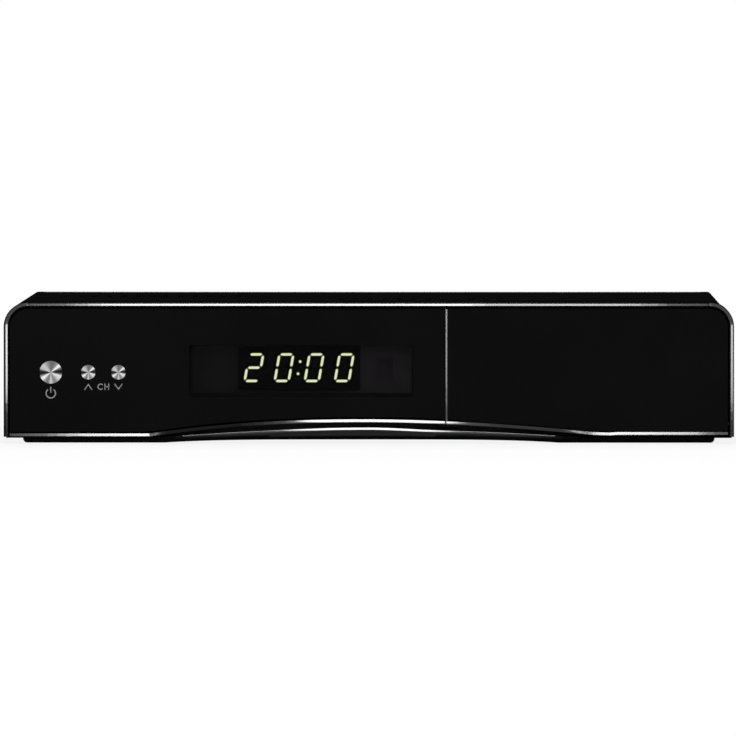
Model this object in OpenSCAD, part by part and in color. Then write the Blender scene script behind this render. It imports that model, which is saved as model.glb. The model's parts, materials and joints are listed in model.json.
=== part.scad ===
// Satellite television receiver: a flat box with a gloss front, a clock display behind a smoked
// window, three push caps and a flap door that covers a bay.
// +X is to the right as seen from the front, the front faces -Y and +Z is up.
// The origin is on the table under the middle of the box. Depths t count back from the rim.

/* [Body] */
// Width over the front frame
body_w = 300; // [294:1:320]
// Depth from the rim to the rear panel's outer face
body_d = 212; // [208:1:240]
// Height of the front frame's top above the table
body_h = 58; // [57:0.5:64]
// Height of the front frame's underside above the table
frame_lift = 2.8; // [2.6:0.1:3.2]
// Play between flat parts that slide together
play = 0.2; // [0.1:0.05:0.3]

/* [Front frame] */
// Width of the rim seen from the front
rim_w = 2.1; // [2:0.1:2.6]
// Radius of the rim's rounded nose
rim_r = 0.9; // [0.5:0.1:1]
// Radius of the two top corners
corner_r = 10; // [8:0.5:13]
// Depth of the frame
frame_d = 18; // [17.5:0.5:22]
// Width of the groove between the rim and the panels
groove_w = 0.5; // [0.4:0.1:0.7]
// Width of the ledge behind the panels' edges
ledge_w = 3.5; // [3.4:0.1:4.5]
// Thickness of the frame's inner walls
web_t = 2; // [1.6:0.1:2.4]
// Length of the tongue that the top cover slides over
tongue_l = 4; // [3:0.5:6]

/* [Front panel and arch] */
// Depth of the panels' faces behind the rim
face_t = 0.5; // [0.5:0.1:0.8]
// Thickness of the fixed front panel
panel_t = 2.5; // [2.3:0.1:3]
// Height of the bead along the panels' lower edge
bead_h = 1.5; // [1.2:0.1:2]
// Distance that the bead stands out of the panels' faces
bead_out = 0.4; // [0.2:0.05:0.45]
// Height of the panels' straight lower edge above the frame's underside
edge_step = 0.6; // [0.5:0.1:0.8]
// Rise of the arch in the lower edge
arch_h = 5.95; // [5:0.05:6.6]
// Reach of the arch to the left
arch_left = 90; // [80:1:100]
// Reach of the arch to the right
arch_right = 99; // [90:1:108]
// Thickness of the panel's return under the arch
return_t = 1.6; // [1.2:0.1:2]

/* [Lower lip] */
// Height of the lip's underside above the table
lip_lift = 0.8; // [0.5:0.1:1]
// Half length of the lip
lip_half = 142; // [136:1:143]
// Depth of the lip's front behind the rim
lip_t = 0.9; // [0.7:0.1:1.3]
// Drop from the straight lower edge to the lip's ridge
ridge_drop = 0.76; // [0.7:0.02:0.9]
// Rise of the ridge under the arch
ridge_h = 3.28; // [2.8:0.02:3.6]
// Rise of the lip's underside under the arch
relief_h = 1.3; // [0.8:0.1:1.6]

/* [Display] */
// Width of the smoked window
window_w = 92; // [88:1:94]
// Height of the smoked window
window_h = 21.1; // [20:0.1:23]
// Middle of the window, to the left of the box's middle
window_x = 27.7; // [27:0.1:30]
// Height of the window's middle above the table
window_z = 29.9; // [29:0.1:32]
// Width of the window's flange behind the panel
flange_w = 1.5; // [1:0.1:1.8]
// Thickness of the window's flange
flange_t = 1; // [0.8:0.1:1.2]
// Width of the display module
module_w = 50; // [49:0.5:51]
// Height of the display module
module_h = 18; // [17:0.5:18.5]
// Height of a digit
digit_h = 12.1; // [11:0.1:13]
// Width of a digit
digit_w = 6.7; // [6:0.1:7.4]
// Distance from digit to digit
digit_pitch = 12.37; // [12:0.01:12.6]
// Width of a segment
segment_w = 1.3; // [1:0.1:1.5]
// Lean of the digits
digit_lean = 10; // [0:1:12]

/* [Buttons] */
// Diameter of the power cap
power_d = 9.4; // [8:0.1:10]
// Diameter of each channel cap
channel_d = 6; // [5:0.1:6.4]
// Height of the caps' middles above the table
button_z = 29.3; // [28:0.1:31]
// Distance of the power cap from the left side
power_in = 19.4; // [18:0.1:20]
// Distance from the power cap to the channel up cap
channel_gap = 15.4; // [14.5:0.1:17]
// Distance between the two channel caps
channel_pitch = 12.4; // [11.5:0.1:13]
// Gap around each cap
cap_gap = 0.25; // [0.15:0.05:0.3]
// Thickness of a cap
cap_t = 1.2; // [1:0.1:1.5]
// Travel of a button
button_travel = 0.8; // [0.5:0.1:1]

/* [Door] */
// Left edge of the door, to the right of the box's middle
door_x = 31.9; // [31:0.1:34]
// Width of the seam between the panel and the door
seam_w = 0.6; // [0.4:0.1:0.8]
// Thickness of the door
door_t = 2.4; // [2:0.1:2.4]
// Radius of the door's hinge knuckles
knuckle_r = 1.7; // [1.5:0.1:1.9]
// Length of the door's left knuckle
knuckle_l = 6; // [5:0.5:8]
// Radius of the hinge pins
pin_r = 0.8; // [0.6:0.1:0.9]
// Length of pin that stands out of the door
pin_out = 1.6; // [1.5:0.1:1.8]
// Radial running gap around the hinge pins
pin_gap = 0.05; // [0.02:0.01:0.08]
// Gap between the open door and the lip
hinge_gap = 0.9; // [0.6:0.1:1.2]
// Gap behind the swinging lower edge of the door
swing_gap = 0.5; // [0.4:0.1:0.8]
// Depth of the bay's back wall behind the rim
bay_d = 14; // [13.5:0.1:15]
// Thickness of the bay's walls
bay_t = 1.2; // [1:0.1:1.5]

/* [Sheet metal] */
// Thickness of the pan, cover and rear panel
sheet_t = 1; // [0.8:0.1:1.2]
// Distance of the cover's sides inside the frame's sides
cover_in = 5; // [4.5:0.1:6]
// Drop of the cover's top below the frame's top
cover_drop = 0.4; // [0.3:0.1:0.6]
// Height of the feet
foot_h = 3.2; // [3:0.1:4]
// Diameter of the feet
foot_d = 20; // [16:1:24]
// Height of the pan's side flanges
side_flange_h = 20; // [16:1:22]
// Height of the pan's front and rear flanges
end_flange_h = 5.2; // [5:0.1:5.6]
// Width of a ventilation slot
vent_w = 2.4; // [2:0.1:3]
// Length of a ventilation slot in the top
vent_l = 30; // [20:1:34]
// Distance from slot to slot
vent_pitch = 6; // [5:0.5:7]

/* [Boards] */
// Height of the board spacers
spacer_h = 6; // [5.8:0.1:7]
// Thickness of the boards
board_t = 1.6; // [1.2:0.1:2]
// Width of the power board
power_w = 60; // [59:1:64]
// Gap between the power board and the main board
board_gap = 8; // [6:0.5:10]
// Length of the power board
power_l = 140; // [134:1:150]
// Distance from the front panel's back to the front board
front_boss_l = 9; // [8.8:0.1:9.6]

/* [Sockets] */
// Length that the satellite sockets stand out
socket_out = 10; // [9:0.5:12]
// Radius of a satellite socket's barrel
sat_r = 4.76; // [4.6:0.02:4.9]
// Radius of a phono sleeve
phono_r = 4.15; // [4:0.05:4.3]
// Length that the phono sleeves stand out
phono_out = 8.5; // [8:0.5:9]
// Distance between phono sleeves
phono_pitch = 14; // [13.5:0.5:15]

/* [Hidden] */
$fn = 64;
eps = 0.01;
// Front shapes
arch_power = [2.3, 1.75];
ridge_power = [1.85, 1.85];
relief_power = [4, 4];
ridge_in = [4, 11];
relief_in = [6, 21];
arch_step = 5;
bead_slices = 4;
scoop_steps = 5;
arch_reach = [arch_left, arch_right];

y_front = -(body_d + socket_out) / 2;
half_w = body_w / 2;
edge_z = frame_lift + edge_step;
ridge_z0 = edge_z - ridge_drop;
seat_t = face_t + panel_t;
panel_in = rim_w + groove_w;
ledge_in = rim_w + ledge_w;
panel_x1 = door_x - seam_w;
door_x1 = half_w - panel_in;
hinge_t = face_t + knuckle_r;
hinge_z = ridge_z(door_x) + hinge_gap + knuckle_r;
door_reach = norm([hinge_z - edge_z, face_t + door_t - hinge_t]);
soffit_t = hinge_t + door_reach + swing_gap;

cover_x = half_w - cover_in;
inner_x = cover_x - sheet_t - play;
cover_z = body_h - cover_drop;
inner_z = cover_z - sheet_t - play;
pan_z = foot_h + sheet_t;
rear_t = body_d - sheet_t;
board_z = pan_z + spacer_h;
board_top = board_z + board_t;

// Display and front board
module_x = -window_x - 0.95;
digit_z = window_z + 1.2;
module_t = seat_t + flange_t + 0.4;
front_board_t = seat_t + front_boss_l;
front_board_x = [-half_w + 8, panel_x1 - 4.6];
front_board_z = [13, body_h - ledge_in - 1.4];
boss_r = 2.2;
boss_bore_r = 1.1;
boss_in = 4;
carrier_t = module_t + 1;
carrier_wall = 1.2;
segment_gap = 0.15;
segment_t = 0.15;
carrier_in = [1.2, 0.6];
sensor_size = [7, 9, 5];
sensor_x = module_x + module_w / 2 + 10;
sensor_lens_r = 2.4;
ribbon_t = 0.6;
ribbon_plug = [4, 5];
ribbon_drop = 18;
front_ribbon_x = [-36, -14];
ribbon_cap = [8, 12];
ribbon_cap_gap = 1;
ribbon_cap_pitch = 12;
power_ribbon_w = 18;

// Buttons
power_x = -half_w + power_in;
up_x = power_x + channel_gap;
down_x = up_x + channel_pitch;
collar_w = 1.2;
collar_t = 1;
stem_r = 1.6;
switch_w = 6;
switch_d = 3.6;
switch_pin_r = 1.5;
switch_out = button_travel + 0.2;
switch_t = front_board_t - switch_d;

// Hinge, mullion and bay
lug_l = 3;
pin_in = knuckle_l - 1;
bay_z0 = hinge_z + knuckle_r + 1.1;
mull_x = [panel_x1 - 4, door_x + 3.7];
mull_mid = (mull_x[0] + mull_x[1]) / 2;
mull_z = max(bay_z0, edge(panel_x1) + return_t) + 0.6;
bay_x0 = mull_x[1] + play;
bay_in = ledge_in + play;
magnet_size = [10, 2.2];
magnet_x = (door_x + door_x1) / 2;
magnet_z = body_h - rim_w - ledge_w / 2;
strike_t = 0.5;

// Case
bend_r = 2;
lip_h = 8;
tongue_z = pan_z + side_flange_h + 2;
rib_t = 4;
rib_z = pan_z + end_flange_h - 0.4;
screw_r = 1.2;
hole_r = 1.25;
clear_r = 1.6;
head_r = 2.8;
head_h = 1.8;
cross_w = 0.6;
frame_screw_x = [-100, 0, 100];
frame_screw_z = pan_z + head_r + play / 2;
side_screw_t = [frame_d + 22, rear_t - 21];
side_screw_z = pan_z + side_flange_h - 8;
rear_screw_z = cover_z - lip_h / 2;
foot_x = inner_x - 18;
foot_t = [frame_d + 18, rear_t - 20];
spigot_r = 3;
top_vents = [[-half_w + 22, 13, 128], [-12, 12, 78]];
side_vents = [9, 96];
side_vent_h = 14;

// Boards
board_edge = inner_x - sheet_t - 1.8;
power_board_x = [-board_edge, -board_edge + power_w];
main_x = [power_board_x[1] + board_gap, board_edge];
main_t = [bay_d + 1.5, rear_t - 2];
power_board_t = [rear_t - 20 - power_l, rear_t - 20];
spacer_in = 5;
main_post_t = [main_t[0] + 30, (main_t[0] + main_t[1]) / 2 - 16, main_t[1] - 62];
main_posts = [for (x = [main_x[0] + spacer_in, main_x[1] - spacer_in]) for (t = main_post_t) [x, t]];
power_posts = [for (x = [power_board_x[0] + spacer_in, power_board_x[1] - spacer_in])
    for (t = [power_board_t[0] + spacer_in, power_board_t[1] - spacer_in]) [x, t]];

chip_size = [27, 27, 1.8];
chip_x = main_x[0] + 54;
chip_t = 84;
sink_w = 32;
sink_fins = 8;
sink_fin = [1.4, 10];
sink_base = 2;
core = [28, 24, 9];
core_gap = 6;
transformer_x = power_board_x[0] + 34;
transformer_t = power_board_t[0] + 66;
fuse_r = 2.6;
fuse_l = 20;
fuse_z = board_top + 5;
terminal_t = [power_board_t[1] - 11, power_board_t[1] - 2];
terminal_h = 6;

// Front sockets in the bay
card_size = [57, 70, 6];
card_x = main_x[1] - 55;
card_slot = [54.4, 1.4];
card_z = board_top + 2.4;
slot_play = 0.7;
usb_x = main_x[1] - 10;
usb_size = [13.2, 16, 5.8];
usb_z = board_top + 0.6;

// Rear sockets
tuner_size = [32, 60, 20];
tuner_x = main_x[1] - 33;
sat_in_x = main_x[1] - 9;
sat_loop_x = main_x[1] - 25;
sat_z = board_top + 11;
nut_t = 2.4;
nut_r = 6.6;
scart_x = main_x[0] + 28;
scart_size = [54, 18, 38];
scart_face = [47, 12.4];
scart_pitch = 19;
scart_t = 2;
phono_x = main_x[0] + 70;
phono_z = board_top + 9;
phono_base_r = phono_r + 0.6;
collar_r = 5.6;
collar_h = 1.6;
hdmi_x = main_x[0] + 93;
hdmi_size = [15, 12, 5.6];
hdmi_out = 1;
hdmi_z = board_top + 0.6 + hdmi_size[2] / 2;
ethernet_x = main_x[0] + 110;
ethernet_size = [16, 21, 13.4];
ethernet_hole = [11.8, 14, 7];
ethernet_out = 1;
serial_x = main_x[0] + 135;
serial_z = board_top + 6.6;
serial_flange = [30.8, 12.5];
serial_out = 6;
serial_pitch = 2.77;
rear_screw_x = [-half_w + 30, hdmi_x, half_w - 30];

// Mains
inlet_x = -half_w + 26;
switch_x = -half_w + 54;
mains_z = 26;
inlet_face = [27, 17];
inlet_body = [23, 13.4];
inlet_r = 3.9;
inlet_half = 4.3;
inlet_d = 12;
mains_out = 2;
mains_pin_r = 1.2;
rocker_face = [16, 22];
rocker_body = [14.6, 20.4];
rocker_half = 8.6;
rocker_w = 11.4;
rocker_tilt = 7;
rocker_t = body_d - 0.6;
axle_r = 1;
axle_gap = 0.05;
switch_depth = 12;
blade_l = 4;
blade_pitch = 6;
wire_r = 1.1;
wire_bend = 3;

// ---- curves of the lower edge ----

// A hump of height 1 at x = 0 that falls to 0 at each reach, steeper with a higher power
function hump(x, reach, power) =
    x < 0 ? (-x < reach[0] ? 1 - pow(-x / reach[0], power[0]) : 0)
          : (x < reach[1] ? 1 - pow(x / reach[1], power[1]) : 0);
// Height of the panels' lower edge, of the lip's ridge and of the lip's underside
function edge(x) = edge_z + arch_h * hump(x, arch_reach, arch_power);
function ridge_z(x) = ridge_z0 + ridge_h * hump(x, arch_reach - ridge_in, ridge_power);
function underside(x) = lip_lift + relief_h * hump(x, arch_reach - relief_in, relief_power);
// Even stations from a to b
function stations(a, b) = let (n = ceil((b - a) / arch_step)) [for (i = [0:n]) a + (b - a) * i / n];

// ---- helpers ----

module at(x, t, z) translate([x, y_front + t, z]) children();

// A box between two values along each axis
module block(x, t, z) at(x[0], t[0], z[0]) cube([x[1] - x[0], t[1] - t[0], z[1] - z[0]]);

// A box by its middle in x and its size, standing on z and starting at t
module box(x, t, z, size) at(x - size[0] / 2, t, z) cube(size);

// Cylinders along each axis
module rod_x(x, t, z, r) at(x[0], t, z) rotate([0, 90, 0]) cylinder(h = x[1] - x[0], r = r);
module rod_t(x, t, z, r) at(x, t[0], z) rotate([-90, 0, 0]) cylinder(h = t[1] - t[0], r = r);
module rod_z(x, t, z, r) at(x, t, z[0]) cylinder(h = z[1] - z[0], r = r);

// A front view outline (x, z) carried from depth t[0] to t[1]
module plate_t(t) at(0, t[1], 0) rotate([90, 0, 0]) linear_extrude(t[1] - t[0]) children();

// A side view outline (t, z) carried from x[0] to x[1]
module bar_x(x) at(x[0], 0, 0) rotate([90, 0, 90]) linear_extrude(x[1] - x[0]) children();

// The frame's outline drawn in by inset, with a straight lower side at z
module outline(inset, z = frame_lift) {
    r = corner_r - inset;
    x = half_w - inset;
    top = body_h - inset;
    translate([-x, z]) square([2 * x, top - r - z]);
    translate([r - x, z]) square([2 * (x - r), top - z]);
    for (s = [-1, 1]) translate([s * (x - r), top - r]) circle(r);
}

// A rectangle about its middle, with round corners
module rounded(w, h, r) {
    square([w - 2 * r, h], center = true);
    square([w, h - 2 * r], center = true);
    for (x = [-1, 1], y = [-1, 1]) translate([x * (w / 2 - r), y * (h / 2 - r)]) circle(r);
}

// A straight slot with round ends, along y
module slot(w, l) {
    square([w, l - w], center = true);
    for (s = [-1, 1]) translate([0, s * (l - w) / 2]) circle(w / 2, $fn = 24);
}

// A front plate between two x values, its lower side on the arch, with a half-round bead along it
module arched_plate(x0, x1, t, thick) {
    plate_t([t, t + thick]) intersection() {
        outline(panel_in, 0);
        polygon(concat([for (x = stations(x0, x1)) [x, edge(x)]], [[x1, body_h], [x0, body_h]]));
    }
    for (i = [0:bead_slices - 1]) {
        nose = 1 - (i + 0.5) / bead_slices;
        half = bead_h / 2 * sqrt(1 - nose * nose);
        plate_t([t - bead_out * (1 - i / bead_slices), t + eps]) polygon(concat(
            [for (x = stations(x0, x1)) [x, edge(x) + bead_h / 2 - half]],
            [for (x = stations(-x1, -x0)) [-x, edge(-x) + bead_h / 2 + half]]));
    }
}

// A pan head screw with its head's seat at the origin, pointing down, with a cross recess
module screw(l, r = screw_r, head = head_r, h = head_h) {
    translate([0, 0, -l]) cylinder(h = l, r = r, $fn = 24);
    difference() {
        cylinder(h = h, r = head, $fn = 32);
        for (a = [0, 90]) rotate(a) translate([-head * 0.6, -cross_w / 2, h / 2])
            cube([head * 1.2, cross_w, h]);
    }
}

// ---- front ----

// Section of the rim: u runs inwards from the outside, v runs back
module rim_section() {
    translate([0, rim_r]) square([rim_w, frame_d - rim_r]);
    translate([rim_r, 0]) square([rim_w - 2 * rim_r, 2 * rim_r]);
    for (u = [rim_r, rim_w - rim_r]) translate([u, rim_r]) circle(rim_r, $fn = 32);
}

module rim() {
    bar_x([corner_r - half_w, half_w - corner_r]) translate([0, body_h]) rotate(-90) rim_section();
    for (m = [0, 1]) mirror([m, 0, 0]) {
        at(-half_w, 0, frame_lift) linear_extrude(body_h - corner_r - frame_lift) rim_section();
        at(half_w - corner_r, 0, body_h - corner_r) rotate([-90, 0, 0]) rotate([0, 0, -90])
            rotate_extrude(angle = 90) translate([corner_r, 0]) mirror([1, 0]) rim_section();
    }
}

module front_frame() color([0.04, 0.04, 0.045]) difference() {
    inside = inner_x - web_t;
    union() {
        rim();
        // ledge that the panels rest on
        plate_t([seat_t, seat_t + web_t]) difference() {
            outline(rim_w - eps, hinge_z + knuckle_r + 0.5);
            outline(ledge_in, 0);
        }
        // mullion behind the seam
        block(mull_x, [seat_t, seat_t + web_t], [mull_z, body_h - rim_w]);
        block([mull_mid - web_t / 2, mull_mid + web_t / 2], [seat_t, soffit_t + web_t],
            [mull_z, body_h - rim_w]);
        block(mull_x, [soffit_t, soffit_t + web_t], [frame_lift, mull_z + 2]);
        // wall behind the lip and the floor behind it
        plate_t([soffit_t, soffit_t + web_t]) polygon(concat(
            [[mull_x[1], bay_z0], [half_w - rim_w, bay_z0], [half_w - rim_w, frame_lift],
                [rim_w - half_w, frame_lift]],
            [for (x = stations(rim_w - half_w, mull_x[1])) [x, edge(x) + return_t + 1]]));
        block([-half_w + eps, half_w - eps], [soffit_t, frame_d], [frame_lift, frame_lift + web_t]);
        block([-inside, inside], [frame_d - rib_t, frame_d], [frame_lift, rib_z]);
        // back wall and tongue under the top cover
        plate_t([frame_d - web_t, frame_d]) difference() {
            outline(rim_w - eps);
            translate([-inside, 0]) square([2 * inside, inner_z - web_t]);
        }
        plate_t([frame_d - web_t, frame_d + tongue_l]) difference() {
            intersection() {
                cover_outline(sheet_t + play);
                translate([-inner_x, tongue_z]) square([2 * inner_x, body_h]);
            }
            translate([-inside, 0]) square([2 * inside, inner_z - web_t]);
        }
    }
    rod_x([half_w - rim_w - 1, door_x1 + pin_out + play], hinge_t, hinge_z, pin_r + pin_gap);
    box(magnet_x, seat_t - 1, magnet_z - magnet_size[1] / 2 - play / 2,
        [magnet_size[0] + play, web_t + 2, magnet_size[1] + play]);
    for (x = frame_screw_x) rod_t(x, [frame_d - rib_t - 1, frame_d + 1], frame_screw_z, hole_r);
}

module front_panel() color([0.03, 0.03, 0.035]) difference() {
    x0 = panel_in - half_w;
    union() {
        arched_plate(x0, panel_x1, face_t, panel_t);
        // return under the arch
        plate_t([seat_t - 1, soffit_t]) polygon(concat(
            [for (x = stations(x0, panel_x1)) [x, edge(x)]],
            [for (x = stations(-panel_x1, -x0)) [-x, edge(-x) + return_t]]));
        // lug for the door's left pin
        rod_x([panel_x1 - lug_l, panel_x1], hinge_t, hinge_z, knuckle_r);
        for (p = board_bosses()) rod_t(p[0], [seat_t - 1, front_board_t], p[1], boss_r);
    }
    at(-window_x, seat_t + 1, window_z) rotate([90, 0, 0]) linear_extrude(panel_t + 2)
        rounded(window_w + play, window_h + play, 1);
    for (b = buttons()) rod_t(b[0], [face_t - 1, seat_t + 1], button_z, b[1] / 2 + cap_gap);
    for (p = board_bosses()) rod_t(p[0], [seat_t + 1, front_board_t + 1], p[1], boss_bore_r);
    rod_x([door_x - pin_out - play, door_x], hinge_t, hinge_z, pin_r + pin_gap);
}

module display_window() color([0.08, 0.07, 0.09]) {
    plate_t([face_t, seat_t + eps]) translate([-window_x, window_z]) rounded(window_w, window_h, 0.9);
    plate_t([seat_t, seat_t + flange_t]) translate([-window_x, window_z])
        rounded(window_w + 2 * flange_w, window_h + 2 * flange_w, 1);
}

// The section of the lip at x as points (x, y, z): underside, front, ridge and hollow
function lip_section(x) = let (
    low = underside(x), ridge = ridge_z(x), top = edge(x) - 0.1, t0 = lip_t + 0.9)
    [for (p = concat(
        [[soffit_t, low], [lip_t + 0.8, low], [lip_t + 0.25, low + 0.2], [lip_t, low + 0.6],
            [lip_t, ridge - 0.8], [lip_t + 0.3, ridge - 0.2]],
        [for (i = [0:scoop_steps]) let (a = 90 * i / scoop_steps)
            [t0 + (soffit_t - t0) * sin(a), ridge + (top - ridge) * (1 - cos(a))]]))
        [x, y_front + p[0], p[1]]];

module lower_lip() color([0.09, 0.09, 0.1]) {
    rings = [for (x = stations(-lip_half, lip_half)) lip_section(x)];
    n = len(rings[0]);
    last = len(rings) - 1;
    polyhedron(
        points = [for (ring = rings) each ring],
        faces = concat(
            [for (k = [0:last - 1], i = [0:n - 1]) let (j = (i + 1) % n)
                each [[k * n + i, k * n + j, k * n + n + j], [k * n + i, k * n + n + j, k * n + n + i]]],
            [[for (i = [n - 1:-1:0]) i], [for (i = [0:n - 1]) last * n + i]]),
        convexity = 6);
}

module door() color([0.03, 0.03, 0.035]) difference() {
    back = face_t + door_t;
    union() {
        arched_plate(door_x, door_x1, face_t, door_t);
        rod_x([door_x, door_x + knuckle_l], hinge_t, hinge_z, knuckle_r);
        rod_x([door_x1 - knuckle_l, door_x1], hinge_t, hinge_z, knuckle_r);
    }
    rod_x([door_x - 1, door_x + pin_in], hinge_t, hinge_z, pin_r);
    rod_x([door_x1 - pin_in, door_x1 + 1], hinge_t, hinge_z, pin_r);
    box(magnet_x, back - strike_t, magnet_z - magnet_size[1] / 2,
        [magnet_size[0], strike_t + 1, magnet_size[1]]);
}

module door_pins() color("silver") {
    rod_x([door_x - pin_out, door_x + pin_in], hinge_t, hinge_z, pin_r);
    rod_x([door_x1 - pin_in, door_x1 + pin_out], hinge_t, hinge_z, pin_r);
}

module door_strike() color("silver")
    box(magnet_x, face_t + door_t - strike_t, magnet_z - magnet_size[1] / 2,
        [magnet_size[0], strike_t, magnet_size[1]]);

module door_magnet() color("dimgray")
    box(magnet_x, seat_t, magnet_z - magnet_size[1] / 2, [magnet_size[0], web_t, magnet_size[1]]);

// Front view of the bay, drawn in by inset
module bay_shape(inset) intersection() {
    outline(bay_in + inset, 0);
    translate([bay_x0 + inset, bay_z0 + inset]) square([half_w, body_h]);
}

module bay_panel() color([0.07, 0.07, 0.08]) {
    flange_x = mull_mid + web_t / 2 + play;
    difference() {
        plate_t([seat_t + 0.3, bay_d]) bay_shape(0);
        plate_t([seat_t - 1, bay_d - bay_t]) bay_shape(bay_t);
        box(card_x, bay_d - bay_t - 1, card_z - slot_play,
            [card_slot[0] + 2 * slot_play, bay_t + 2, card_slot[1] + 2 * slot_play]);
        box(usb_x, bay_d - bay_t - 1, usb_z - play,
            [usb_size[0] + 2 * play, bay_t + 2, usb_size[2] + 2 * play]);
    }
    // flange that seats behind the ledge and the mullion
    plate_t([seat_t + web_t, seat_t + web_t + bay_t]) difference() {
        intersection() {
            outline(panel_in, 0);
            translate([flange_x, bay_z0]) square([half_w, body_h]);
        }
        bay_shape(bay_t / 2);
    }
}

// ---- buttons ----

// Position and diameter of each button
function buttons() = [[power_x, power_d], [up_x, channel_d], [down_x, channel_d]];

module cap(x, d) color([0.75, 0.75, 0.76]) at(x, 0, button_z) rotate([-90, 0, 0]) rotate_extrude()
    polygon([[0, 0], [d / 2 - 0.2, 0], [d / 2, 0.2], [d / 2, cap_t], [0, cap_t]]);

module plunger(x, d) color([0.1, 0.1, 0.1]) {
    collar = seat_t + play;
    rod_t(x, [cap_t, collar + eps], button_z, d / 2 - 0.3);
    rod_t(x, [collar, collar + collar_t], button_z, d / 2 + collar_w);
    rod_t(x, [collar, switch_t - switch_out], button_z, stem_r);
}

module switch_pin(x) color([0.15, 0.15, 0.15])
    rod_t(x, [switch_t - switch_out, switch_t + 1], button_z, switch_pin_r);

module power_cap() cap(power_x, power_d);
module power_plunger() plunger(power_x, power_d);
module power_switch_pin() switch_pin(power_x);
module channel_up_cap() cap(up_x, channel_d);
module channel_up_plunger() plunger(up_x, channel_d);
module channel_up_switch_pin() switch_pin(up_x);
module channel_down_cap() cap(down_x, channel_d);
module channel_down_plunger() plunger(down_x, channel_d);
module channel_down_switch_pin() switch_pin(down_x);

module button_switches() color([0.3, 0.3, 0.32]) for (b = buttons()) difference() {
    box(b[0], switch_t, button_z - switch_w / 2, [switch_w, switch_d, switch_w]);
    rod_t(b[0], [switch_t - 1, switch_t + 1 + button_travel + 0.3], button_z, switch_pin_r + 0.1);
}

// ---- front board ----

// Front board posts (x, z) in its four corners
function board_bosses() = [for (x = front_board_x + [boss_in, -boss_in],
    z = front_board_z + [boss_in, -boss_in]) [x, z]];

module front_board() color([0.08, 0.32, 0.16]) difference() {
    block(front_board_x, [front_board_t, front_board_t + board_t], front_board_z);
    for (p = board_bosses()) rod_t(p[0], [front_board_t - 1, front_board_t + board_t + 1], p[1], hole_r);
}

module front_board_screws() color("silver") for (p = board_bosses())
    at(p[0], front_board_t + board_t, p[1]) rotate([-90, 0, 0])
        screw(5, boss_bore_r - 0.05, 2, 1.4);

module display_module() color([0.13, 0.13, 0.13])
    box(module_x, module_t, digit_z - module_h / 2,
        [module_w, front_board_t - module_t, module_h]);

// A point of a digit, leaned over
function lean(p) = [p[0] + p[1] * tan(digit_lean), p[1]];

// The six corners of a segment from a to b
function segment(a, b) = let (
    d = (b - a) / norm(b - a), side = [-d[1], d[0]] * segment_w / 2, in = d * segment_w / 2,
    gap = d * segment_gap)
    [for (p = [a + gap, a + gap + in + side, b - gap - in + side, b - gap, b - gap - in - side,
        a + gap + in - side]) lean(p)];

module digit() {
    w = (digit_w - segment_w) / 2;
    h = (digit_h - segment_w) / 2;
    for (z = [-h, 0, h]) polygon(segment([-w, z], [w, z]));
    for (x = [-w, w], z = [-h, 0]) polygon(segment([x, z], [x, z + h]));
}

module display_segments() color([0.95, 1, 0.8]) plate_t([module_t - segment_t, module_t])
    translate([module_x, digit_z]) {
        for (i = [-1.5:1:1.5]) translate([i * digit_pitch, 0]) digit();
        for (z = [-2.5, 2.5]) translate(lean([0, z])) circle(segment_w / 2, $fn = 24);
    }

module display_carrier() color([0.45, 0.45, 0.47]) {
    x = [-window_x - window_w / 2 + carrier_in[0], -window_x + window_w / 2 - carrier_in[1]];
    difference() {
        block(x, [carrier_t, front_board_t],
            [digit_z - module_h / 2 - carrier_wall - play, digit_z + module_h / 2 + carrier_wall]);
        box(module_x, carrier_t - 1, digit_z - module_h / 2 - play / 2,
            [module_w + play, front_board_t, module_h + play]);
        box(sensor_x, carrier_t - 1, digit_z - sensor_size[1] / 2 - 1.5,
            [sensor_size[0] + 2, front_board_t, sensor_size[1] + 2]);
    }
}

module infrared_receiver() color([0.12, 0.05, 0.08]) {
    box(sensor_x, front_board_t - sensor_size[2], digit_z - sensor_size[1] / 2 - 0.5,
        [sensor_size[0], sensor_size[2], sensor_size[1]]);
    rod_t(sensor_x, [front_board_t - sensor_size[2] - 1, front_board_t - 1], digit_z, sensor_lens_r);
}

// A flat cable between two plugs that stand on the boards, as an arch in the plane drawn
module ribbon(a, b, rise) {
    for (x = [a, b]) translate([x - ribbon_plug[0] / 2, 0]) square(ribbon_plug);
    for (x = [a, b]) translate([x - ribbon_t / 2, ribbon_plug[1] - eps]) square([ribbon_t, rise]);
    translate([a - ribbon_t / 2, ribbon_plug[1] + rise - ribbon_t]) square([b - a + ribbon_t, ribbon_t]);
}

module ribbon_cables() color([0.75, 0.75, 0.72]) {
    // power board to main board
    middle = (main_post_t[1] + main_post_t[2]) / 2;
    plate_t([middle - power_ribbon_w / 2, middle + power_ribbon_w / 2]) translate([0, board_top])
        ribbon(power_board_x[1] - 5, main_x[0] + 6, 5);
    // front board to main board
    plug_t = front_board_t + board_t;
    plug_z = front_board_z[0] + 8;
    bar_x(front_ribbon_x) {
        translate([plug_t, plug_z - ribbon_plug[0] / 2]) square([ribbon_plug[1], ribbon_plug[0]]);
        translate([plug_t + ribbon_plug[1] - eps, plug_z - ribbon_t / 2])
            square([ribbon_drop, ribbon_t]);
        translate([plug_t + ribbon_plug[1] + ribbon_drop - ribbon_t, board_top])
            square([ribbon_t, plug_z + ribbon_t / 2 - board_top]);
        translate([plug_t + ribbon_plug[1] + ribbon_drop - (ribbon_plug[0] + ribbon_t) / 2, board_top])
            square(ribbon_plug);
    }
}

// ---- case ----

// Slots for air: n slots about the middle of a field, in a front-to-back direction
module vents(x0, t, n, z, l) for (i = [0:n - 1])
    at(x0 + i * vent_pitch, t, z) linear_extrude(4 * sheet_t) slot(vent_w, l);

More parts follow.
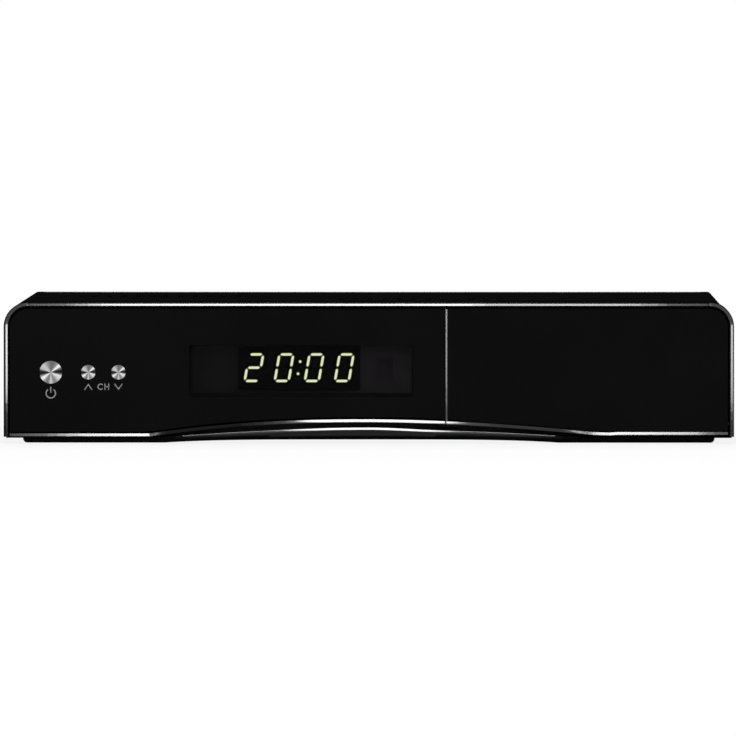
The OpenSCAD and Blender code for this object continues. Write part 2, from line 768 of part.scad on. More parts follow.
module bottom_pan() color([0.55, 0.56, 0.57]) difference() {
    side = inner_x - sheet_t;
    union() {
        block([-inner_x, inner_x], [frame_d, rear_t], [foot_h, pan_z]);
        for (x = [-inner_x, side]) block([x, x + sheet_t], [frame_d + sheet_t / 2, rear_t],
            [pan_z - eps, pan_z + side_flange_h]);
        for (t = [frame_d, rear_t - sheet_t])
            block([-side, side], [t, t + sheet_t], [pan_z - eps, pan_z + end_flange_h]);
    }
    for (x = frame_screw_x) rod_t(x, [frame_d - 1, frame_d + 2], frame_screw_z, clear_r);
    for (s = [-1, 1], t = side_screw_t) rod_x([s * inner_x - 2, s * inner_x + 2], t, side_screw_z, hole_r);
    for (s = [-1, 1], t = foot_t) rod_z(s * foot_x, t, [foot_h - 1, pan_z + 1], spigot_r);
    for (p = concat(main_posts, power_posts)) rod_z(p[0], p[1], [foot_h - 1, pan_z + 1], hole_r);
    vents(power_board_x[0] + 12, (power_board_t[0] + power_board_t[1]) / 2 + 4, 10, foot_h - 1, vent_l);
    vents(main_x[0] + 42, 88, 9, foot_h - 1, vent_l);
}

// Front view of the cover, drawn in by inset
module cover_outline(inset) {
    w = 2 * (cover_x - inset);
    h = cover_z - foot_h;
    translate([-w / 2, foot_h + play]) square([w, h - bend_r - play]);
    translate([0, cover_z - inset - h / 2]) rounded(w, h, bend_r - inset);
}

module top_cover() color([0.05, 0.05, 0.055]) difference() {
    front = frame_d + play;
    union() {
        plate_t([front, body_d + sheet_t]) difference() {
            cover_outline(0);
            translate([0, -eps]) cover_outline(sheet_t);
            translate([-body_w, foot_h - sheet_t - 1]) square([2 * body_w, 1 + sheet_t + play]);
        }
        // rear edge folded down over the rear panel
        plate_t([body_d, body_d + sheet_t]) intersection() {
            cover_outline(0);
            translate([-body_w, cover_z - lip_h]) square([2 * body_w, body_h]);
        }
    }
    for (f = top_vents) vents(f[0], f[2], f[1], cover_z - 2 * sheet_t, vent_l);
    for (s = [-1, 1], i = [0:side_vents[0] - 1])
        at(s * cover_x, side_vents[1] + i * vent_pitch, cover_z - 16) rotate([0, 90, 0])
            translate([0, 0, -4]) linear_extrude(8) rotate(90) slot(vent_w, side_vent_h);
    for (s = [-1, 1], t = side_screw_t) rod_x([s * cover_x - 2, s * cover_x + 2], t, side_screw_z, clear_r);
    for (x = rear_screw_x) rod_t(x, [body_d - 1, body_d + 3], rear_screw_z, clear_r);
}

module feet() color([0.08, 0.08, 0.08]) for (s = [-1, 1], t = foot_t) {
    at(s * foot_x, t, 0) rotate_extrude() polygon([[0, 0], [foot_d / 2 - 1, 0], [foot_d / 2, 1],
        [foot_d / 2, foot_h], [0, foot_h]]);
    rod_z(s * foot_x, t, [foot_h - eps, pan_z + 1.4], spigot_r - 0.05);
}

module cover_screws() color("silver") {
    for (m = [0, 1], t = side_screw_t) mirror([m, 0, 0]) at(cover_x, t, side_screw_z)
        rotate([0, 90, 0]) screw(5);
    for (x = rear_screw_x) at(x, body_d + sheet_t, rear_screw_z) rotate([-90, 0, 0]) screw(5);
}

module chassis_screws() color("silver")
    for (x = frame_screw_x) at(x, frame_d + sheet_t, frame_screw_z) rotate([-90, 0, 0]) screw(4);

module rear_panel() color([0.52, 0.53, 0.54]) difference() {
    hole_t = [rear_t - 1, body_d + 1];
    union() {
        plate_t([rear_t, body_d]) {
            cover_outline(sheet_t + play);
            translate([-inner_x, foot_h]) square([2 * inner_x, bend_r]);
        }
        block([bend_r - inner_x, inner_x - bend_r], [rear_t - lip_h, rear_t + eps],
            [inner_z - sheet_t, inner_z]);
    }
    for (x = rear_screw_x) rod_t(x, hole_t, rear_screw_z, hole_r);
    for (x = [sat_in_x, sat_loop_x]) rod_t(x, hole_t, sat_z, sat_r + play);
    for (p = phonos()) rod_t(p[0], hole_t, p[1], phono_base_r + play);
    for (z = scart_levels()) box(scart_x, hole_t[0], z - scart_face[1] / 2 - play,
        [scart_face[0] + 2 * play, 4, scart_face[1] + 2 * play]);
    box(hdmi_x, hole_t[0], hdmi_z - hdmi_size[2] / 2 - play,
        [hdmi_size[0] + 2 * play, 4, hdmi_size[2] + 2 * play]);
    box(ethernet_x, hole_t[0], board_top - play,
        [ethernet_size[0] + 2 * play, 4, ethernet_size[2] + 2 * play]);
    plate_t(hole_t) translate([serial_x, serial_z]) serial_shell(play);
    box(inlet_x, hole_t[0], mains_z - inlet_body[1] / 2 - play,
        [inlet_body[0] + 2 * play, 4, inlet_body[1] + 2 * play]);
    box(switch_x, hole_t[0], mains_z - rocker_body[1] / 2 - play,
        [rocker_body[0] + 2 * play, 4, rocker_body[1] + 2 * play]);
    for (i = [0:9]) plate_t(hole_t) translate([power_board_x[0] + 8 + i * vent_pitch, inner_z - 12.5])
        slot(vent_w, 9);
}

// ---- boards ----

module board(x, t, posts) color([0.08, 0.32, 0.16]) difference() {
    block(x, t, [board_z, board_top]);
    for (p = posts) rod_z(p[0], p[1], [board_z - 1, board_top + 1], hole_r);
}

module main_board() board(main_x, main_t, main_posts);
module power_board() {
    board(power_board_x, power_board_t, power_posts);
    // terminal block for the mains wires
    color([0.1, 0.3, 0.5]) difference() {
        block([inlet_x - 8, switch_x + 5], terminal_t, [board_top - eps, board_top + terminal_h]);
        for (x = [inlet_x - inlet_half, switch_x])
            rod_z(x, (terminal_t[0] + terminal_t[1]) / 2, [board_top + 2, board_top + terminal_h + 1],
                wire_r + 0.7);
    }
}

module board_spacers() color([0.8, 0.75, 0.5]) for (p = concat(main_posts, power_posts)) difference() {
    at(p[0], p[1], pan_z) cylinder(h = spacer_h, r = 2.9, $fn = 6);
    rod_z(p[0], p[1], [pan_z - 1, board_z + 1], hole_r);
}

module board_screws() color("silver") for (p = concat(main_posts, power_posts))
    at(p[0], p[1], board_top) screw(5);

module board_chips() color([0.08, 0.08, 0.08]) {
    box(chip_x, chip_t - chip_size[1] / 2, board_top, chip_size);
    for (i = [0, 1]) box(chip_x + 32, chip_t - 14 + 15 * i, board_top, [18, 10, 1.2]);
    box(chip_x - 34, chip_t - 6, board_top, [14, 18, 1.2]);
}

module processor_heat_sink() color([0.2, 0.2, 0.22]) {
    z = board_top + chip_size[2];
    box(chip_x, chip_t - sink_w / 2, z, [sink_w, sink_w, sink_base]);
    for (i = [0:sink_fins - 1])
        box(chip_x + (sink_w - sink_fin[0]) * (i / (sink_fins - 1) - 0.5), chip_t - sink_w / 2,
            z + sink_base - eps, [sink_fin[0], sink_w, sink_fin[1]]);
}

module capacitor(x, t, d, h) {
    rod_z(x, t, [board_top, board_top + h], d / 2);
}

module board_capacitors() color([0.1, 0.12, 0.3]) {
    for (i = [0, 1])
        capacitor(front_ribbon_x[1] + ribbon_cap_gap + ribbon_cap[0] / 2 + i * ribbon_cap_pitch,
            main_t[0] + 24.5, ribbon_cap[0], ribbon_cap[1]);
    for (p = [[14, 130, 10, 16], [27, 130, 10, 16], [96, 150, 6.3, 11], [105, 150, 6.3, 11]])
        capacitor(main_x[0] + p[0], p[1], p[2], p[3]);
}

module tuner_can() color([0.78, 0.79, 0.8]) {
    start = rear_t - tuner_size[1];
    box(tuner_x + tuner_size[0] / 2, start, board_top, [tuner_size[0], tuner_size[1], tuner_size[2]]);
    box(tuner_x + tuner_size[0] / 2, start + 1, board_top + tuner_size[2] - eps,
        [tuner_size[0] - 2, tuner_size[1] - 2, 0.6]);
}

// ---- rear sockets ----

module satellite_socket(x) color([0.82, 0.8, 0.72]) {
    tip = body_d + socket_out;
    difference() {
        union() {
            rod_t(x, [rear_t, tip], sat_z, sat_r);
            at(x, body_d, sat_z) rotate([-90, 0, 0]) cylinder(h = nut_t, r = nut_r, $fn = 6);
        }
        rod_t(x, [tip - 7, tip + 1], sat_z, 2.8);
        rod_t(x, [tip - 9, tip], sat_z, 0.6);
    }
}
module satellite_input() satellite_socket(sat_in_x);
module satellite_loop_output() satellite_socket(sat_loop_x);

// Heights of the two SCART sockets' middles
function scart_levels() = [for (i = [0, 1]) board_top + 9.5 + i * scart_pitch];

module scart_face_outline(inset) {
    w = scart_face[0] / 2 - inset;
    h = scart_face[1] / 2 - inset;
    polygon([[-w, -h], [w, -h], [w, h - 3], [w - 3, h], [-w, h]]);
}

module scart_sockets() color([0.12, 0.12, 0.13]) difference() {
    union() {
        box(scart_x, rear_t - scart_size[1], board_top, scart_size);
        for (z = scart_levels()) plate_t([rear_t - eps, body_d + scart_t])
            translate([scart_x, z]) scart_face_outline(0);
    }
    for (z = scart_levels()) {
        plate_t([body_d + scart_t - 9, body_d + scart_t + 1]) translate([scart_x, z]) difference() {
            scart_face_outline(1);
            scart_face_outline(2.2);
        }
        for (s = [-1, 1], i = [-4.5:1:4.5]) box(scart_x + i * 3.81 + s * 0.95, body_d + scart_t - 7,
            z + s * 2.2 - 1.5, [1.1, 8, 3]);
    }
}

// Middle of each phono socket (x, z)
function phonos() = [for (x = [-0.5, 0.5], z = [0, 1])
    [phono_x + x * phono_pitch, phono_z + z * phono_pitch]];

module phono_block() color([0.12, 0.12, 0.13])
    box(phono_x, rear_t - 14, board_top, [2 * phono_pitch, 14, phono_z - board_top + phono_pitch + 7]);

module phono_sleeves() color([0.82, 0.8, 0.72]) for (p = phonos()) difference() {
    union() {
        rod_t(p[0], [rear_t, body_d + collar_h], p[1], phono_base_r);
        rod_t(p[0], [rear_t, body_d + phono_out], p[1], phono_r);
    }
    rod_t(p[0], [body_d - 0.5, body_d + phono_out + 1], p[1], 1.65);
}

module phono_collars() color([0.8, 0.7, 0.1]) for (p = phonos()) difference() {
    rod_t(p[0], [body_d, body_d + collar_h], p[1], collar_r);
    rod_t(p[0], [body_d - 1, body_d + collar_h + 1], p[1], phono_base_r + 0.02);
}

module hdmi_outline(w, h) {
    polygon([[-w / 2, h / 2], [-w / 2, -h / 2 + 1.5], [-w / 2 + 1.5, -h / 2], [w / 2 - 1.5, -h / 2],
        [w / 2, -h / 2 + 1.5], [w / 2, h / 2]]);
}

module hdmi_socket() color([0.75, 0.75, 0.76]) {
    back = body_d + hdmi_out - hdmi_size[1];
    plate_t([back, body_d + hdmi_out]) translate([hdmi_x, hdmi_z]) difference() {
        hdmi_outline(hdmi_size[0], hdmi_size[2]);
        hdmi_outline(hdmi_size[0] - 0.8, hdmi_size[2] - 0.8);
    }
    plate_t([back, back + 2]) translate([hdmi_x, hdmi_z])
        hdmi_outline(hdmi_size[0] - 0.4, hdmi_size[2] - 0.4);
    box(hdmi_x, back, hdmi_z - 0.2, [hdmi_size[0] - 4, hdmi_size[1] - 1, 1]);
    box(hdmi_x, back, board_top, [hdmi_size[0] - 5, hdmi_size[1] - 4, 0.7]);
}

module serial_shell(grow) {
    w = 8.5 + grow;
    h = 4.2 + grow;
    polygon([[-w, h], [w, h], [w - 1.3, -h], [1.3 - w, -h]]);
}

module serial_socket() color([0.75, 0.75, 0.76]) {
    box(serial_x, rear_t - 0.8, serial_z - serial_flange[1] / 2, [serial_flange[0], 0.8, serial_flange[1]]);
    box(serial_x, rear_t - 12, board_top, [serial_flange[0] - 2, 11.3, 11]);
    plate_t([rear_t - eps, body_d + serial_out]) translate([serial_x, serial_z]) difference() {
        serial_shell(0);
        serial_shell(-0.5);
    }
    for (row = [[5, 1.4], [4, -1.4]], i = [0:row[0] - 1])
        rod_t(serial_x + (i - (row[0] - 1) / 2) * serial_pitch, [rear_t - 1, body_d + serial_out - 1],
            serial_z + row[1], 0.5, $fn = 16);
    for (s = [-1, 1]) difference() {
        at(serial_x + s * 12.5, body_d, serial_z) rotate([-90, 0, 0]) cylinder(h = 4, r = 2.6, $fn = 6);
        rod_t(serial_x + s * 12.5, [body_d + 1, body_d + 5], serial_z, 1.4);
    }
}

module ethernet_socket() color([0.75, 0.75, 0.76]) difference() {
    front = body_d + ethernet_out;
    box(ethernet_x, front - ethernet_size[1], board_top, ethernet_size);
    z = board_top + 2.4;
    box(ethernet_x, front - ethernet_hole[1], z, ethernet_hole + [0, 1, 0]);
    box(ethernet_x, front - ethernet_hole[1], z + ethernet_hole[2] - eps, [6, ethernet_hole[1] + 1, 1.6]);
}

// ---- sockets in the bay ----

module usb_socket() color([0.75, 0.75, 0.76]) difference() {
    box(usb_x, bay_d + play, board_top, [usb_size[0], usb_size[1], usb_size[2] + 0.6]);
    difference() {
        box(usb_x, bay_d, usb_z + 0.3, [usb_size[0] - 0.7, usb_size[1] - 2, usb_size[2] - 0.6]);
        box(usb_x, bay_d + play, usb_z + 3, [usb_size[0] - 2.2, usb_size[1], 1.8]);
    }
}

module card_reader() color([0.3, 0.31, 0.33]) difference() {
    box(card_x, bay_d + play, board_top, card_size);
    box(card_x, bay_d - 1, card_z, [card_slot[0], card_size[1] - 4, card_slot[1]]);
    box(card_x, bay_d + 26, board_top + card_size[2] - 1.2, [34, 26, 2]);
}

// ---- power supply ----

module power_transformer() color([0.75, 0.65, 0.3]) {
    x = transformer_x;
    t = transformer_t;
    low = board_top + 2;
    leg = 5;
    for (z = [low, low + core[2] + core_gap]) box(x, t - core[1] / 2, z, core);
    for (s = [-1, 1]) box(x + s * (core[0] - leg) / 2, t - core[1] / 2, low,
        [leg, core[1], 2 * core[2] + core_gap]);
    rod_z(x, t, [low + core[2] - eps, low + core[2] + core_gap + eps], (core[0] - 2 * leg) / 2 - 0.5);
    for (s = [-1, 1]) box(x, t + s * (core[1] / 2 - 3) - 3, board_top, [core[0] - 4, 6, 2.1]);
}

module power_capacitors() color([0.1, 0.1, 0.12])
    for (p = [[16, 98, 18, 30], [45, 30, 10, 20], [45, 44, 10, 20], [33, 24, 10, 20]])
        capacitor(power_board_x[0] + p[0], power_board_t[0] + p[1], p[2], p[3]);

module power_heat_sinks() color([0.7, 0.71, 0.72]) for (p = [[8, 60], [54, 36]])
    translate([power_board_x[0] + p[0], 0, 0]) {
        box(0, power_board_t[0] + p[1] - 20, board_top, [2, 40, 26]);
        for (i = [0:4]) box(3, power_board_t[0] + p[1] - 19 + i * 9, board_top + 4, [5, 1.4, 22]);
    }

module fuse() color([0.85, 0.86, 0.87]) {
    x = power_board_x[0] + 38;
    t = power_board_t[1] - 22;
    rod_x([x - fuse_l / 2, x + fuse_l / 2], t, fuse_z, fuse_r);
    for (s = [-7, 7]) {
        rod_x([x + s - 3, x + s + 3], t, fuse_z, fuse_r + 0.3);
        box(x + s, t - 1.5, board_top, [4, 3, fuse_z - board_top - 1]);
    }
}

module mains_recess() {
    for (s = [-1, 1]) translate([s * inlet_half, 0]) circle(inlet_r);
    square([2 * inlet_half, 2 * inlet_r], center = true);
}

module mains_inlet() color([0.1, 0.1, 0.1]) {
    front = body_d + mains_out;
    difference() {
        union() {
            plate_t([body_d, front]) translate([inlet_x, mains_z]) rounded(inlet_face[0], inlet_face[1], 2);
            box(inlet_x, front - inlet_d - 3, mains_z - inlet_body[1] / 2,
                [inlet_body[0], inlet_d + 2, inlet_body[1]]);
        }
        plate_t([front - inlet_d, front + 1]) translate([inlet_x, mains_z]) mains_recess();
    }
    for (s = [-1, 1]) rod_t(inlet_x + s * inlet_half, [front - inlet_d - 5, front - 2], mains_z, mains_pin_r);
}

module mains_switch() color([0.1, 0.1, 0.1]) {
    back = rocker_t - switch_depth;
    difference() {
        union() {
            plate_t([body_d, body_d + mains_out]) translate([switch_x, mains_z])
                rounded(rocker_face[0] + 3, rocker_face[1] + 3, 1);
            box(switch_x, back, mains_z - rocker_body[1] / 2, [rocker_body[0], 14, rocker_body[1]]);
        }
        box(switch_x, rocker_t - 6, mains_z - rocker_half - 0.7, [rocker_w + 0.8, 12, 2 * rocker_half + 1.4]);
        rod_x([switch_x - rocker_w / 2 - 1 - play, switch_x + rocker_w / 2 + 1 + play], rocker_t, mains_z,
            axle_r + axle_gap);
    }
    for (z = [0, -blade_pitch])
        box(switch_x, back - blade_l, mains_z + z - 0.4, [4.8, blade_l + 0.1, 0.8]);
}

module mains_rocker() color([0.5, 0.08, 0.07]) {
    h = rocker_half;
    at(switch_x - rocker_w / 2, rocker_t, mains_z) rotate([rocker_tilt, 0, 0]) rotate([90, 0, 90])
        linear_extrude(rocker_w)
            polygon([[3.6, h], [2.2, 0], [3.6, -h], [-1, 1 - h], [-3.6, 0], [-1, h - 1]]);
    rod_x([switch_x - rocker_w / 2 - 1, switch_x + rocker_w / 2 + 1], rocker_t, mains_z, axle_r);
}

// A wire at x that runs forwards from back at height z and bends down at front to low
module drop_wire(x, back, front, z, low) {
    rod_t(x, [front + wire_bend, back], z, wire_r);
    at(x, front + wire_bend, z - wire_bend) rotate([0, -90, 0]) rotate_extrude(angle = -90)
        translate([wire_bend, 0]) circle(wire_r, $fn = 24);
    rod_z(x, front, [low, z - wire_bend], wire_r);
}

module mains_wires() color([0.35, 0.2, 0.12]) {
    pin_back = body_d + mains_out - inlet_d - 5;
    blade_back = rocker_t - switch_depth - blade_l;
    down = (terminal_t[0] + terminal_t[1]) / 2;
    cross = min(pin_back, blade_back) - 6;
    pin_x = inlet_x + inlet_half;
    drop_wire(inlet_x - inlet_half, pin_back, down, mains_z, board_top + 4);
    drop_wire(switch_x, blade_back, down, mains_z - blade_pitch, board_top + 3);
    // inlet to switch
    rod_t(pin_x, [cross + wire_bend, pin_back], mains_z, wire_r);
    rod_t(switch_x, [cross + wire_bend, blade_back], mains_z, wire_r);
    rod_x([pin_x + wire_bend, switch_x - wire_bend], cross, mains_z, wire_r);
    at(pin_x + wire_bend, cross + wire_bend, mains_z) rotate(180) rotate_extrude(angle = 90)
        translate([wire_bend, 0]) circle(wire_r, $fn = 24);
    at(switch_x - wire_bend, cross + wire_bend, mains_z) rotate(-90) rotate_extrude(angle = 90)
        translate([wire_bend, 0]) circle(wire_r, $fn = 24);
}

front_frame();
front_panel();
display_window();
lower_lip();
door();
door_pins();
door_strike();
door_magnet();
bay_panel();
power_cap();
power_plunger();
power_switch_pin();
channel_up_cap();
channel_up_plunger();
channel_up_switch_pin();
channel_down_cap();
channel_down_plunger();
channel_down_switch_pin();
button_switches();
front_board();
front_board_screws();
display_module();
display_segments();
display_carrier();
infrared_receiver();
ribbon_cables();
bottom_pan();
rear_panel();
top_cover();
feet();
cover_screws();
chassis_screws();
board_spacers();
board_screws();
main_board();
board_chips();
processor_heat_sink();
board_capacitors();
tuner_can();
satellite_input();
satellite_loop_output();
scart_sockets();
phono_block();
phono_sleeves();
phono_collars();
hdmi_socket();
serial_socket();
ethernet_socket();
usb_socket();
card_reader();
power_board();
power_transformer();
power_capacitors();
power_heat_sinks();
fuse();
mains_inlet();
mains_switch();
mains_rocker();
mains_wires();
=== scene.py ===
# %% [markdown]
# # A satellite television receiver, dressed for its picture
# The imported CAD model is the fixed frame: it says where every solid is and which of them move.
# This file keeps that frame, makes the visible pieces finer with numpy, and gives each a finish.
# Everything is in metres. The front faces -Y, +X is to the right of it and +Z is up.

# %% Load the frame
import json
import math

import bmesh
import bpy
import numpy as np
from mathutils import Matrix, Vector


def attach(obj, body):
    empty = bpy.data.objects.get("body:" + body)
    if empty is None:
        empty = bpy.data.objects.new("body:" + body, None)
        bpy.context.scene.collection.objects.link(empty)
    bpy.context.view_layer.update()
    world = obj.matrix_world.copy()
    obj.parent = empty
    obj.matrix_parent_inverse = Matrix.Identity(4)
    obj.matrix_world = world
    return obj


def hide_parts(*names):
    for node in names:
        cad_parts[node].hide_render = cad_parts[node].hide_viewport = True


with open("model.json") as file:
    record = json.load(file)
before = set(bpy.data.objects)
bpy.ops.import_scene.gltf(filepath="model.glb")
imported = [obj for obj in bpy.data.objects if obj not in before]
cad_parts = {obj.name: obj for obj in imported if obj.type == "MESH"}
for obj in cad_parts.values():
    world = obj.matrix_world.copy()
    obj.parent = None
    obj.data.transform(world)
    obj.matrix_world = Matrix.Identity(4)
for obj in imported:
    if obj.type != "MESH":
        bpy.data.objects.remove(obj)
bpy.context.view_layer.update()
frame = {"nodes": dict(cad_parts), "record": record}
nodes = frame["nodes"]

# %% [markdown]
# The drawing of the front is in millimetres, with depths t counted back from the rim, so the
# values in this file repeat the part's own sizes. `place` turns them into metres in one step,
# and `drawn` turns a mesh's points back into the drawing's numbers.

# %% Sizes that every piece of the front shares
MM = 0.001
Y_FRONT = -111.0
HALF_W, TOP, CORNER = 150.0, 58.0, 10.0
FACE_T = 0.5


def place(x, t, z):
    """Points in metres from x, depth t behind the rim and height z in millimetres."""
    x, t, z = np.broadcast_arrays(x, t, z)
    return np.stack([x, Y_FRONT + t, z], axis=-1) * MM


def drawn(points):
    """The (x, t, z) in millimetres of points in metres."""
    return np.array(points) / MM - np.array([0, Y_FRONT, 0])


print("front plane at y", Y_FRONT * MM)

# %% [markdown]
# Three curves rule the lower edge of the front: the panels' edge, the ridge of the lip under it
# and the lip's underside. Each is a straight line with one hump in the middle. A spline could be
# traced by hand, but a formula keeps the panel, the door and the lip in step with one another.

# %% Curves of the lower edge
def step(x, start, end):
    """A smooth step from 0 to 1: 3 s^2 - 2 s^3 of the share s between start and end."""
    share = np.clip((x - start) / (end - start), 0, 1)
    return share * share * (3 - 2 * share)


def arched(level, rise, reach, power):
    """A curve of x: the level, plus the rise times 1 - (|x| / reach) ** power within the reach.
    Reach and power are pairs, for the left and the right of the middle."""
    def height(x):
        x = np.asarray(x, float)
        side = (x > 0).astype(int)
        share = np.minimum(np.abs(x) / np.array(reach)[side], 1)
        return level + rise * (1 - share ** np.array(power)[side])
    return height


RIDGE_RISE = 3.28
edge = arched(3.4, 5.95, reach=(90, 99), power=(2.3, 1.75))
ridge = arched(2.64, RIDGE_RISE, reach=(86, 88), power=(1.85, 1.85))
underside = arched(0.8, 1.3, reach=(84, 78), power=(4, 4))
print("edge at the middle", edge(0), "ridge", ridge(0), "underside", underside(0))

# %% [markdown]
# Every new surface is a grid: rows of points, joined to the next row by four-sided faces. One
# helper makes the faces, and others put points and faces into a mesh that rides on a body.

# %% Helpers for meshes
def grid_faces(rows, cols, wrap=True):
    """Four-sided faces between neighbouring rows of a grid, whose columns may close into a ring."""
    r, c = np.meshgrid(np.arange(rows - 1), np.arange(cols if wrap else cols - 1), indexing="ij")
    n = (c + 1) % cols
    corners = [r * cols + c, r * cols + n, (r + 1) * cols + n, (r + 1) * cols + c]
    return np.stack(corners, -1).reshape(-1, 4).tolist()


def end_faces(rows, cols):
    """The first and the last ring of a grid as two many-sided faces."""
    return [list(range(cols))[::-1], list(range((rows - 1) * cols, rows * cols))]


def new_piece(name, mesh, body, slot, replaces, smooth=35.0):
    """A mesh's object at the origin, on its body, smooth but for edges sharper than an angle."""
    obj = bpy.data.objects.new(name, mesh)
    bpy.context.scene.collection.objects.link(obj)
    mesh.polygons.foreach_set("use_smooth", np.ones(len(mesh.polygons), bool))
    mesh.set_sharp_from_angle(angle=math.radians(smooth))
    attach(obj, body)
    if replaces:
        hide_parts(*replaces)
    return obj


def make_piece(name, points, faces, body, slot, replaces=(), smooth=35.0):
    """A new piece from points in metres and faces that number them."""
    mesh = bpy.data.meshes.new(name)
    mesh.from_pydata(np.asarray(points).reshape(-1, 3).tolist(), [], faces)
    mesh.validate()
    return new_piece(name, mesh, body, slot, replaces, smooth)


def outward(obj):
    """Doubles merged, then the normals of the closed shell turned outwards."""
    bm = bmesh.new()
    bm.from_mesh(obj.data)
    bmesh.ops.remove_doubles(bm, verts=bm.verts, dist=1e-7)
    bmesh.ops.recalc_face_normals(bm, faces=bm.faces)
    bm.to_mesh(obj.data)
    bm.free()


def rings(name, points, slot, replaces=(), body="cabinet", caps=True, smooth=35.0):
    """A solid from rows of points: each row is a ring, and the first and last may be closed."""
    rows, cols = points.shape[:2]
    faces = grid_faces(rows, cols) + (end_faces(rows, cols) if caps else [])
    obj = make_piece(name, points, faces, body, slot, replaces, smooth)
    outward(obj)
    return obj


def turning_profile(turns, lengths):
    """A profile given by how its normal turns: for each stretch the angle goes evenly from one
    value to the next over a length, and the points are the running sum of the tangents. Two
    points at least make a stretch, and there is one more for every 9 degrees of turn."""
    path = [np.zeros(2)]
    for (a, b), length in zip(turns, lengths):
        n = int(abs(b - a) / 9) + 2
        middle = np.radians(a + (b - a) * (np.arange(n) + 0.5) / n)
        stride = np.stack([np.cos(middle), -np.sin(middle)], -1) * length / n
        path.extend(path[-1] + np.cumsum(stride, axis=0))
    return np.array(path)


print("helpers ready")

# %% [markdown]
# The camera of the picture stands far away and a little above the front, slightly to the right of
# its middle. A long lens from about five metres gives the same nearly parallel view. Its angle
# and distance come from the receiver's upper rear edge, which shows just above the rim.

# %% Camera
LENS, SENSOR = 590.0, 36.0
EYE, AIM = (0.0399, -5.061, 0.1755), (-0.0003, -0.111, 0.0311)


def aimed(name, data, where, target):
    """A camera or a lamp that stands at one point and looks at another."""
    obj = bpy.data.objects.new(name, data)
    obj.location = where
    obj.rotation_euler = (Vector(target) - Vector(where)).to_track_quat("-Z", "Y").to_euler()
    bpy.context.scene.collection.objects.link(obj)
    return obj


camera = aimed("camera", bpy.data.cameras.new("camera"), EYE, AIM)
camera.data.lens, camera.data.sensor_width = LENS, SENSOR
camera.data.clip_start, camera.data.clip_end = 0.1, 200.0
bpy.context.scene.camera = camera
bpy.context.scene.view_settings.view_transform = "Standard"
print("the picture is", round((AIM[1] - EYE[1]) * SENSOR / LENS, 4), "m wide at the front")

# %% [markdown]
# Small helpers for node materials. Every finish is a Principled shader. Its constants sit on the
# shader itself, and noise in object coordinates varies its colour, its roughness and its bump,
# so that nothing shows as one flat colour.

# %% Helpers for finishes
NOISE_SPAN = (0.3, 0.7)     # where most of a noise's values lie


def add(tree, kind, inputs=(), **settings):
    """A shader node with its settings and the values of its inputs."""
    node = tree.nodes.new("ShaderNode" + kind)
    for key, value in settings.items():
        setattr(node, key, value)
    for key, value in dict(inputs).items():
        node.inputs[key].default_value = value
    return node


def wire(tree, *links):
    """Links given as (source, output, target, socket)."""
    for source, output, target, socket in links:
        tree.links.new(source.outputs[output], target.inputs[socket])


def ramp(tree, source, output, stops):
    """A colour ramp over a number, with stops of (position, grey or colour)."""
    node, stops = add(tree, "ValToRGB"), list(stops)
    band = node.color_ramp
    while len(band.elements) < len(stops):
        band.elements.new(0.5)
    for element, (position, colour) in zip(band.elements, stops):
        element.position = position
        element.color = (*colour, 1) if hasattr(colour, "__len__") else (colour, colour, colour, 1)
    wire(tree, (source, output, node, "Fac"))
    return node


def spread(tree, source, output, span, values, **settings):
    """A number mapped so that the two ends of the span become the two values."""
    limits = {"From Min": span[0], "From Max": span[1], "To Min": values[0], "To Max": values[1]}
    node = add(tree, "MapRange", limits, **settings)
    wire(tree, (source, output, node, "Value"))
    return node


def noise(tree, scale, stretch=(1, 1, 1), detail=3.0, over=None):
    """Noise over object coordinates, or over those of (node, output), stretched along an axis for
    brushed or rolled surfaces."""
    source, output = over or (add(tree, "TexCoord"), "Object")
    mapping = add(tree, "Mapping", {"Scale": stretch})
    texture = add(tree, "TexNoise", {"Scale": scale, "Detail": detail})
    wire(tree, (source, output, mapping, "Vector"), (mapping, "Vector", texture, "Vector"))
    return texture


def new_material(name, **constants):
    """An empty material with one Principled shader that carries the constants, such as Metallic,
    with _ for a space in their names."""
    material = bpy.data.materials.new("finish_" + name)
    material.use_nodes = True
    tree = material.node_tree
    shader = tree.nodes["Principled BSDF"]
    for key, value in constants.items():
        shader.inputs[key.replace("_", " ")].default_value = value
    return material, tree, shader


def finish(name, dark, light, scale, rough, bump=0.0, grain=0.0, stretch=(1, 1, 1), detail=3.0,
           specular=0.5, **constants):
    """A finish from two near colours mixed by noise of a scale, a roughness that follows the same
    noise, and a bump, in metres, from a finer noise, the grain."""
    material, tree, shader = new_material(name, Specular_IOR_Level=specular, **constants)
    cloud = noise(tree, scale, stretch, detail)
    colours = ramp(tree, cloud, "Fac", zip(NOISE_SPAN, (dark, light)))
    level = spread(tree, cloud, "Fac", NOISE_SPAN, rough)
    wire(tree, (colours, "Color", shader, "Base Color"), (level, "Result", shader, "Roughness"))
    if bump:
        fine = noise(tree, grain, stretch, 2.0)
        relief = add(tree, "Bump", {"Distance": bump, "Strength": 1.0})
        wire(tree, (fine, "Fac", relief, "Height"), (relief, "Normal", shader, "Normal"))
    return material


def coat(obj, material):
    """The material on every face of a piece."""
    slots = obj.data.materials
    if len(slots):
        for i in range(len(slots)):
            obj.material_slots[i].link = "OBJECT"
            obj.material_slots[i].material = material
    else:
        slots.append(material)
    return obj


